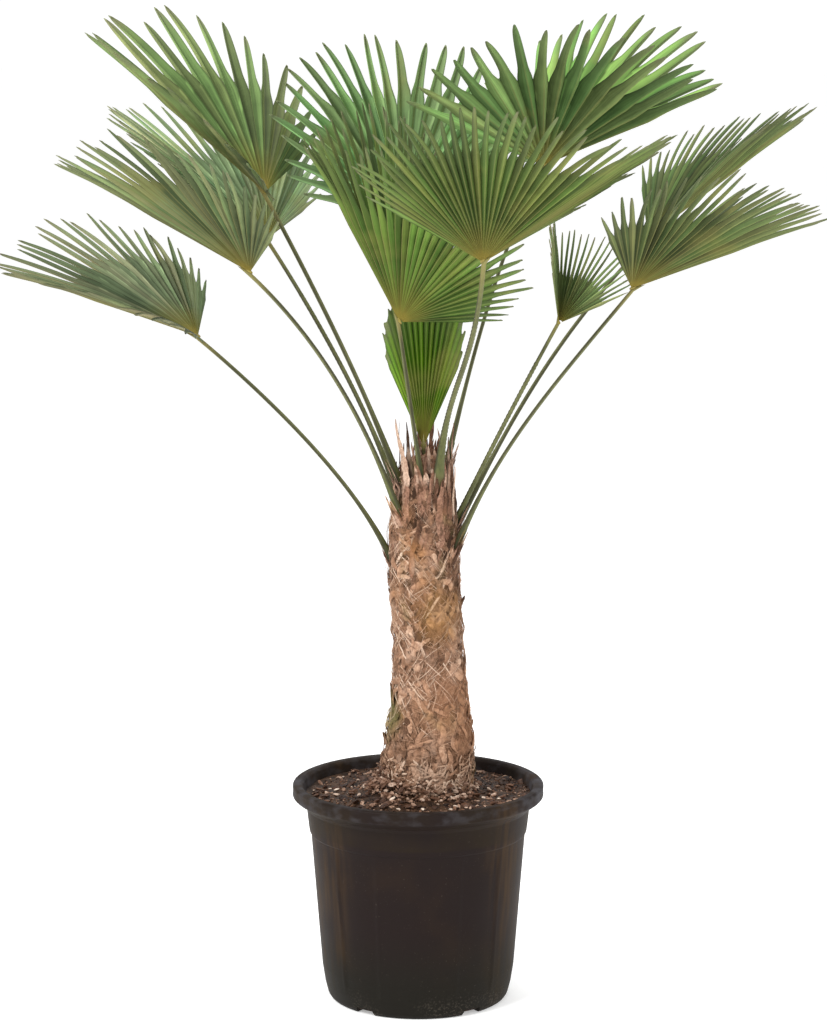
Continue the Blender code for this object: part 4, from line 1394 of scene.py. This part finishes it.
@dataclass
class Frond:
    """One frond: its stalk's four controls up to the hub, its fan's turn and size, and its tints."""

    name: str
    root: Spot
    knee: Spot
    neck: Spot
    hub: Spot
    azimuth: float
    lift: float
    roll: float
    cup: float
    reach: float
    spread: float
    taper: float
    split: float
    upper_tint: Colour
    lower_tint: Colour
    blades: int = 30
    pleat: float = 0.62
    thickness: float = 0.0008
    columns: int = 6
    inner_rows: int = 7
    outer_rows: int = 15
    shortening: float = 3.5
    closed: float = 0.66
    curl: float = 0.0
    curl_start: float = 0.78
    # Painted light and shade across the fan, from one rim to the other
    painted_light_across: tuple[float, ...] = (1.0, 1.0)
    rim_softness: float = 0.01
    droop: float = 0.026
    notch: float = 0.006
    hub_radius: float = 0.005
    waist: float = 0.30
    narrowing: float = 0.46
    swing: float = 1.0
    sag: float = 0.008
    twist: float = 0.30
    root_radius: float = 0.0085
    mid_radius: float = 0.0041
    neck_radius: float = 0.0035
    stalk_steps: int = 120
    stalk_overrun: float = 0.020
    stalk_full_reach: float = 0.349
    crest: Spot = (0.0078, 0.0092, 0.0034)
    crest_full_reach: float = 0.46

    @property
    def axes(self) -> tuple[np.ndarray, np.ndarray, np.ndarray]:
        """Return the fan's axis, its sideways direction and the normal of its upper face."""
        azimuth, lift, roll = (math.radians(value) for value in (self.azimuth, self.lift, self.roll))
        east, north = math.cos(azimuth), math.sin(azimuth)
        axis = np.array([math.cos(lift) * east, math.cos(lift) * north, math.sin(lift)])
        level = np.array([-north, east, 0.0])
        upper = np.cross(axis, level)
        side = level * math.cos(roll) + upper * math.sin(roll)
        normal = upper * math.cos(roll) - level * math.sin(roll)
        return axis, side, normal

    def blade_reach(self, angle: float) -> float:
        """Return how far a blade at an angle from the fan's axis reaches from the hub."""
        share = min(abs(angle) / math.radians(self.spread), 1.0)
        return self.reach * (1.0 - self.taper * share ** self.shortening)

    def from_rim(self, blades: float, least: float) -> np.ndarray:
        """Return 1 for each blade, falling to the least over the outermost blades on both sides."""
        order = np.arange(self.blades)
        return np.clip(np.minimum(order, self.blades - 1 - order) / blades, least, 1.0)

    def blade_width(self, outer: np.ndarray) -> np.ndarray:
        """Return a blade's share of its full width, from where it parts (0) to its tip (1)."""
        ease = np.clip(outer / 0.3, 0.0, 1.0)
        slim = 1.0 - self.waist * ease * ease * (3.0 - 2.0 * ease)
        return slim * (1.0 - self.narrowing * outer) * (0.94 * np.maximum(0.0, 1.0 - outer ** 9) ** 0.6 + 0.06)

    def fan_places(self, angle: np.ndarray, radius: np.ndarray, rise: np.ndarray) -> np.ndarray:
        """Return places on the cupped, drooping fan.

        Args:
            angle: From the fan's axis, in radians.
            radius: From the hub.
            rise: Off the fan's mean surface.

        Returns:
            The places.
        """
        axis, side, normal = self.axes
        cup = math.radians(self.cup)
        sideways = np.sin(angle)
        folded = np.sqrt(sideways * sideways + self.rim_softness) - math.sqrt(self.rim_softness)
        way = (axis * np.cos(angle)[..., None] + side * (sideways * math.cos(cup))[..., None]
               + normal * (folded * math.sin(cup))[..., None])
        places = np.array(self.hub) + unit(way) * radius[..., None] + normal * rise[..., None]
        places[..., 2] -= self.droop * self.reach * (radius / self.reach) ** 2.5
        return places

    def build_fan(self) -> bpy.types.Object:
        """Lay a pleated grid a blade, weld the blades up to where they part, and thicken the fan.

        Returns:
            The fan.
        """
        half = math.radians(self.spread) / self.blades
        first = -math.radians(self.spread)
        draws = random.Random(self.name)
        edges = np.array([min(self.closed * self.blade_reach(first + 2.0 * half * edge),
                              self.reach * self.split * draws.uniform(0.93, 1.07))
                          for edge in range(self.blades + 1)])
        tips = np.array([self.blade_reach(first + half * (2 * number + 1)) * draws.uniform(0.93, 1.03)
                         for number in range(self.blades)])[:, None, None]
        more = np.random.default_rng(len(self.name) + round(1000 * self.reach))
        order = np.arange(self.blades)
        bunched = 1.2 * np.prod([np.sin(order * pace + more.uniform(0.0, 6.0)) for pace in (1.9, 0.37)], axis=0)
        leant = np.radians(more.normal(0.0, self.swing, self.blades) + bunched)
        hung = more.uniform(-0.2, 1.0, self.blades) * self.sag
        turned_by = more.normal(0.0, self.twist, self.blades)
        calm = self.from_rim(4.0, 0.15)
        swing, sag, twist = ((amount * calm)[:, None, None] for amount in (leant, hung, turned_by))

        rows = self.inner_rows + self.outer_rows
        number = order[:, None, None]
        row = np.arange(rows + 1)[None, :, None]
        across = np.linspace(1.0, -1.0, self.columns + 1)[None, None, :]
        off = np.abs(across)
        centre = first + half * (2 * number + 1)
        margin = edges[number + (across > 0.0)]
        middle = (edges[number] + edges[number + 1]) / 2.0
        parted = middle * (1.0 - off) + margin * off
        inner = np.clip(row / self.inner_rows, 0.0, 1.0)
        outer = 1.0 - np.clip(1.0 - (row - self.inner_rows) / self.outer_rows, 0.0, 1.0) ** 1.3
        tip = tips - self.notch * np.abs(2.0 * off - 1.0)
        radius = self.hub_radius + (parted - self.hub_radius) * inner + (tip - parted) * outer
        narrow = self.blade_width(outer)
        angle = centre + across * half * (parted / np.maximum(radius, parted)) * narrow + swing * outer ** 1.7
        depth = np.where(outer > 0.0, parted, radius)
        pleat = (self.pleat * self.from_rim(6.0, 0.06))[:, None, None]
        rise = pleat * half * depth * (2.0 * off - 1.0) * narrow ** 0.9
        rise = rise - sag * outer ** 2 + twist * across * half * parted * outer * (1.0 - outer)
        beyond = np.maximum(0.0, np.abs(angle) / math.radians(self.spread) - self.curl_start)
        rise = rise - self.curl * radius * beyond ** 2
        angle, radius, rise = np.broadcast_arrays(angle, radius, rise)

        sheets = Sheets(self.name + "_fan", self.columns, rows, self.blades)
        sheets.place(self.fan_places(angle, radius, rise))
        marks = {"along": np.clip(radius / tips, 0.0, 1.0), "ray": number + across * 0.5, "side": off,
                 "edge": across}
        for mark, values in marks.items():
            sheets.tag(mark, np.broadcast_to(values, angle.shape))
        sheets.tag_copies("tone", more.uniform(0.0, 1.0, self.blades))
        # Painted light and shade: each blade lighter or darker by its place from one rim of the fan to the
        # other.
        shaded = np.linspace(0.0, 1.0, len(self.painted_light_across))
        sheets.tag_copies("shade", np.interp(order / (self.blades - 1), shaded, self.painted_light_across))
        fan = sheets.thing
        weld(fan, outward=False)
        for material in (FINISHES.upper, FINISHES.lower):
            fan.data.materials.append(material)
        modify(fan, "SOLIDIFY", thickness=self.thickness, offset=-1.0, material_offset=1, material_offset_rim=0)
        self.tint(fan)
        soften(fan, 45.0)
        return fan

    def tint(self, fan: bpy.types.Object) -> None:
        """Give each blade of the thickened fan its own shade of green, above and below, times the fan's painted
        light and shade across its blades.
        """
        tone, own = (read(fan.data.attributes[name].data, "value")[:, None] for name in ("tone", "shade"))
        slot = read(fan.data.polygons, "material_index", kind=np.int32)[:, None]
        base = np.where(slot == 0, np.array(self.upper_tint), np.array(self.lower_tint))
        # Each blade's random tone times the fan's painted light and shade.
        shade = (0.58 + 0.84 * tone) * own
        warm = 1.0 + (tone * 7.3 % 1.0 - 0.5) * np.array([0.40, 0.05, 0.20])
        tag(fan, "tint", base * shade * warm, "FACE")

    def build_stalk(self) -> bpy.types.Object:
        """Sweep the stalk from its sheath in the trunk's fibre to the hub, with small teeth on both edges.

        Returns:
            The stalk.
        """
        axis, _, normal = self.axes
        share = np.linspace(0.0, 1.0, self.stalk_steps)[:, None]
        rest = 1.0 - share
        controls = [np.array(point) for point in (self.root, self.knee, self.neck, self.hub)]
        weights = (rest ** 3, 3.0 * rest * rest * share, 3.0 * rest * share * share, share ** 3)
        line = sum(weight * point for weight, point in zip(weights, controls))
        line = line - normal * (0.003 * share ** 8)
        ends = [controls[-1] + axis * self.stalk_overrun * part - normal * 0.0022 for part in (0.5, 1.0)]
        buried = line[0] * np.array([0.6, 0.6, 1.0]) + np.array([0.004, 0.0, -0.040])
        line = np.concatenate([buried[None], line, ends])
        size = max(0.75, min(1.0, self.reach / self.stalk_full_reach))
        share = np.concatenate([[0.0], share[:, 0], [1.0, 1.0]])
        thick = self.neck_radius + (self.mid_radius - self.neck_radius) * (1.0 - share)
        thick += (self.root_radius - self.mid_radius) * np.maximum(0.0, 1.0 - share / 0.35) ** 1.5
        thick *= size
        sheath = 1.0 + 0.45 * np.exp(-((share / 0.09) ** 2))
        teeth = np.where(np.arange(len(share)) % 2 == 0, 0.0007, 0.0) * (share < 0.8)
        wide = thick * sheath * 1.06 + teeth
        deep = thick * 0.86
        for sizes in (wide, deep):
            sizes[0] = sizes[-1] = 0.0
            sizes[1] *= 0.9
            sizes[-2] *= 0.6
        ups = np.tile(normal, (len(share), 1))
        stalk = swept(self.name + "_stalk", line[None], ups[None], wide[None], deep[None], columns=14,
                      tones=np.array([0.5]))
        stalk.data.materials.append(FINISHES.stalk)
        return stalk

    def build_hastula(self) -> bpy.types.Object:
        """Return the small crest on the fan's upper face at the hub."""
        axis, side, normal = self.axes
        crest = added(self.name + "_hastula", bpy.ops.mesh.primitive_uv_sphere_add, segments=16, ring_count=10,
                      radius=1.0)
        ball = corners(crest)
        local = ball * np.array(self.crest)
        local[:, 0] *= 1.0 - 0.45 * np.clip(ball[:, 1], 0.0, 1.0)
        local[:, 1] += 0.003
        local *= self.reach / self.crest_full_reach
        places = np.array(self.hub) + local[:, :1] * side + local[:, 1:2] * axis + local[:, 2:] * normal
        set_corners(crest, places)
        soften(crest)
        crest.data.materials.append(FINISHES.hastula)
        return crest

    def build(self) -> None:
        """Build and dress the frond."""
        young = self.name == "frond_spear"
        thing = joined(self.name.replace("frond", "palm_frond"),
                       [self.build_fan(), self.build_stalk(), self.build_hastula()])
        deliver(thing, Slot.YOUNG if young else Slot.LEAF, self.name)


@dataclass
class Studio:
    """The camera, the pale floor and the soft light."""

    camera_place: Spot = (-0.007, -4.5, 1.4714)
    camera_tilt: float = 80.818
    lens: float = 107.3
    floor_radius: float = 90.0
    sky: float = 0.72
    seen_sky: float = 1.05
    # Name, place, side in metres and power in watts
    lamps: tuple[tuple[str, Spot, float, float], ...] = (
        ("key_light", (-2.6, -2.6, 3.8), 1.6, 170.0),
        ("fill_light", (3.0, -2.6, 2.2), 2.6, 45.0),
        ("top_light", (0.4, 0.8, 4.2), 2.0, 80.0),
    )
    paper: StudioPaper = field(default_factory=StudioPaper)

    def set_camera(self) -> None:
        """Stand the camera where the photograph was taken from."""
        data = bpy.data.cameras.new("studio_camera")
        data.lens = self.lens
        data.sensor_width = 36.0
        data.sensor_fit = "AUTO"
        data.clip_end = 100.0
        camera = bpy.data.objects.new("studio_camera", data)
        camera.location = self.camera_place
        camera.rotation_euler = (math.radians(self.camera_tilt), 0.0, 0.0)
        bpy.context.scene.collection.objects.link(camera)
        bpy.context.scene.camera = camera

    def lay_floor(self) -> None:
        """Lay the floor as a broad thin disc."""
        floor = added("studio_floor", bpy.ops.mesh.primitive_circle_add, vertices=96, radius=self.floor_radius,
                      fill_type="NGON", location=(0.0, 0.0, -0.0004))
        with editing(floor):
            bpy.ops.mesh.extrude_region_move(TRANSFORM_OT_translate={"value": (0.0, 0.0, -0.05)})
            bpy.ops.mesh.select_all(action="SELECT")
            bpy.ops.mesh.normals_make_consistent(inside=False)
        floor.data.materials.append(self.paper.material())

    def lamp(self, name: str, place: Spot, size: float, power: float, target: Spot = (0.0, 0.0, 0.8)) -> None:
        """Hang one soft box.

        Args:
            name: The lamp's name.
            place: Where it hangs.
            size: Its side.
            power: In watts.
            target: What it points at.
        """
        data = bpy.data.lights.new(name, "AREA")
        data.shape = "SQUARE"
        data.size = size
        data.energy = power
        lamp = bpy.data.objects.new(name, data)
        lamp.location = place
        lamp.rotation_euler = (Vector(target) - Vector(place)).to_track_quat("-Z", "Y").to_euler()
        bpy.context.scene.collection.objects.link(lamp)

    def light(self) -> None:
        """Set an even white sky, a little brighter where the camera sees it, and the soft boxes."""
        world = bpy.data.worlds.new("studio_sky")
        world.use_nodes = True
        nodes, links = world.node_tree.nodes, world.node_tree.links
        lit = nodes["Background"]
        seen = nodes.new("ShaderNodeBackground")
        for sky, strength in ((lit, self.sky), (seen, self.seen_sky)):
            sky.inputs["Color"].default_value = (1.0, 1.0, 1.0, 1.0)
            sky.inputs["Strength"].default_value = strength
        either = nodes.new("ShaderNodeMixShader")
        links.new(nodes.new("ShaderNodeLightPath").outputs["Is Camera Ray"], either.inputs[0])
        links.new(lit.outputs[0], either.inputs[1])
        links.new(seen.outputs[0], either.inputs[2])
        links.new(either.outputs[0], nodes["World Output"].inputs["Surface"])
        bpy.context.scene.world = world
        bpy.context.scene.view_settings.view_transform = "Standard"
        for lamp in self.lamps:
            self.lamp(*lamp)

    def build(self) -> None:
        """Set the whole studio."""
        self.set_camera()
        self.lay_floor()
        self.light()


def deliver(thing: bpy.types.Object, slot: Slot, *nodes: str) -> None:
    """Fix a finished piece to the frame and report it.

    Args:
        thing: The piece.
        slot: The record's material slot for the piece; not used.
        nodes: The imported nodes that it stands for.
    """
    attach(thing, "root")
    if nodes:
        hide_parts(*nodes)
    triangles = sum(len(face.vertices) - 2 for face in thing.data.polygons)
    LOG.info("%s: %d triangles, stands for %s", thing.name, triangles, ", ".join(nodes) or "no node of its own")


FINISHES = FrondFinish()

# Each frond's stalk as root, knee, neck and hub; then azimuth, lift, roll and cup in degrees, reach in metres,
# half spread in degrees, taper and split as shares of the reach; then the upper and the lower tint
FRONDS = (
    Frond("frond_left_top", (-0.012, -0.008, 0.745), (-0.071, -0.005, 0.922), (-0.150, 0.009, 1.066),
          (-0.225, 0.002, 1.220), 184, 44.5, -15, 22, 0.349, 94, 0.41, 0.54,
          (0.117, 0.167, 0.054), (0.174, 0.223, 0.078), blades=27,
          painted_light_across=(1.0, 1.1, 1.0, 0.85, 0.85, 1.1), curl=1.5),
    Frond("frond_left_mid", (-0.015, -0.020, 0.705), (-0.067, -0.050, 0.869), (-0.127, -0.146, 0.999),
          (-0.240, -0.150, 1.115), 182, 31.5, 13.5, 18, 0.324, 90, 0.41, 0.50,
          (0.068, 0.109, 0.040), (0.103, 0.130, 0.055), blades=46,
          painted_light_across=(0.8, 0.75, 1.1, 1.15, 0.8, 0.9, 1.0)),
    Frond("frond_left_low", (-0.024, 0.000, 0.633), (-0.071, -0.003, 0.771), (-0.205, 0.018, 0.895),
          (-0.326, 0.001, 1.008), 187, 22, -11, 19, 0.319, 90, 0.44, 0.52,
          (0.174, 0.209, 0.111), (0.119, 0.120, 0.054), blades=43,
          painted_light_across=(1.25, 1.2, 0.8, 0.85, 0.8, 0.9), curl=1.5),
    Frond("frond_left_back", (-0.015, 0.020, 0.721), (-0.068, 0.056, 0.885), (-0.140, 0.126, 0.996),
          (-0.230, 0.175, 1.140), 153, 39.5, -4.5, 22, 0.325, 83, 0.58, 0.50,
          (0.202, 0.284, 0.139), (0.242, 0.296, 0.143), blades=38),
    Frond("frond_back_top", (0.010, 0.025, 0.792), (-0.002, 0.070, 0.920), (-0.013, 0.103, 1.060),
          (-0.021, 0.146, 1.177), 108, 65.5, 8, 18, 0.308, 91, 0.41, 0.62,
          (0.160, 0.272, 0.102), (0.160, 0.264, 0.096), blades=27,
          painted_light_across=(0.72, 0.95, 1.10, 1.08, 0.80)),
    Frond("frond_right_top", (0.032, 0.000, 0.774), (0.072, 0.012, 0.942), (0.120, 0.060, 1.135),
          (0.185, 0.046, 1.257), -23.5, 24, 3.5, 48, 0.303, 114, 0.20, 0.58,
          (0.119, 0.235, 0.051), (0.166, 0.261, 0.083), blades=32,
          painted_light_across=(1.4, 1.1, 0.7, 1.1, 0.75, 1.0, 0.95)),
    Frond("frond_front_right", (0.029, -0.030, 0.767), (0.033, -0.079, 0.952), (0.080, -0.213, 0.962),
          (0.089, -0.295, 1.141), -48, 32, -8, 29, 0.331, 91, 0.37, 0.66,
          (0.096, 0.139, 0.029), (0.092, 0.134, 0.029), blades=58,
          painted_light_across=(1.0, 0.95, 1.15, 0.9, 0.95)),
    Frond("frond_front_centre", (0.009, -0.030, 0.767), (-0.002, -0.049, 0.850), (-0.018, -0.040, 0.946),
          (-0.027, -0.070, 1.036), -136.5, 57, -28.5, 52, 0.328, 100, 0.53, 0.54,
          (0.073, 0.120, 0.020), (0.071, 0.114, 0.020), blades=56,
          painted_light_across=(1.05, 0.95, 0.95, 1.15, 0.9)),
    Frond("frond_right_back", (0.036, 0.020, 0.675), (0.135, 0.050, 0.870), (0.201, 0.155, 0.979),
          (0.353, 0.190, 1.139), 16, 37, -5.5, 21, 0.326, 63, 0.30, 0.52,
          (0.076, 0.110, 0.031), (0.084, 0.113, 0.033), blades=36),
    Frond("frond_right_low", (0.040, -0.005, 0.642), (0.099, -0.042, 0.840), (0.214, -0.098, 0.962),
          (0.306, -0.130, 1.090), -11, 22, -7, 31, 0.301, 86, 0.34, 0.50,
          (0.076, 0.101, 0.029), (0.085, 0.109, 0.036), blades=42,
          painted_light_across=(0.9, 0.85, 1.2, 1.1, 0.85, 0.85)),
    Frond("frond_right_small", (0.040, 0.005, 0.693), (0.077, 0.005, 0.778), (0.156, -0.055, 0.945),
          (0.208, 0.000, 1.027), 87, 57, 32, 55.5, 0.162, 76, 0.33, 0.42,
          (0.159, 0.203, 0.075), (0.233, 0.213, 0.097), blades=32),
    Frond("frond_spear", (0.012, 0.000, 0.780), (0.011, 0.000, 0.805), (0.009, 0.000, 0.825),
          (0.008, 0.000, 0.843), -90, 95, 0, 20, 0.262, 25, 0.46, 0.92,
          (0.049, 0.123, 0.003), (0.052, 0.119, 0.003), blades=18,
          painted_light_across=(1.2, 0.85, 0.7, 0.95, 0.7, 0.9, 1.1), pleat=0.85, shortening=2.6, closed=0.90),
)


def main() -> None:
    """Build every sub-assembly in order."""
    logging.basicConfig(level=logging.INFO, format="%(message)s")
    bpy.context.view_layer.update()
    Studio().build()
    pot = Pot()
    pot.build()
    soil = Soil(pot)
    soil.build_bed()
    soil.build_chips()
    trunk = Trunk()
    trunk.build()
    CrownFibre(trunk, [(frond.root, frond.knee) for frond in FRONDS]).build()
    for frond in FRONDS:
        frond.build()


if __name__ == "__main__":
    main()
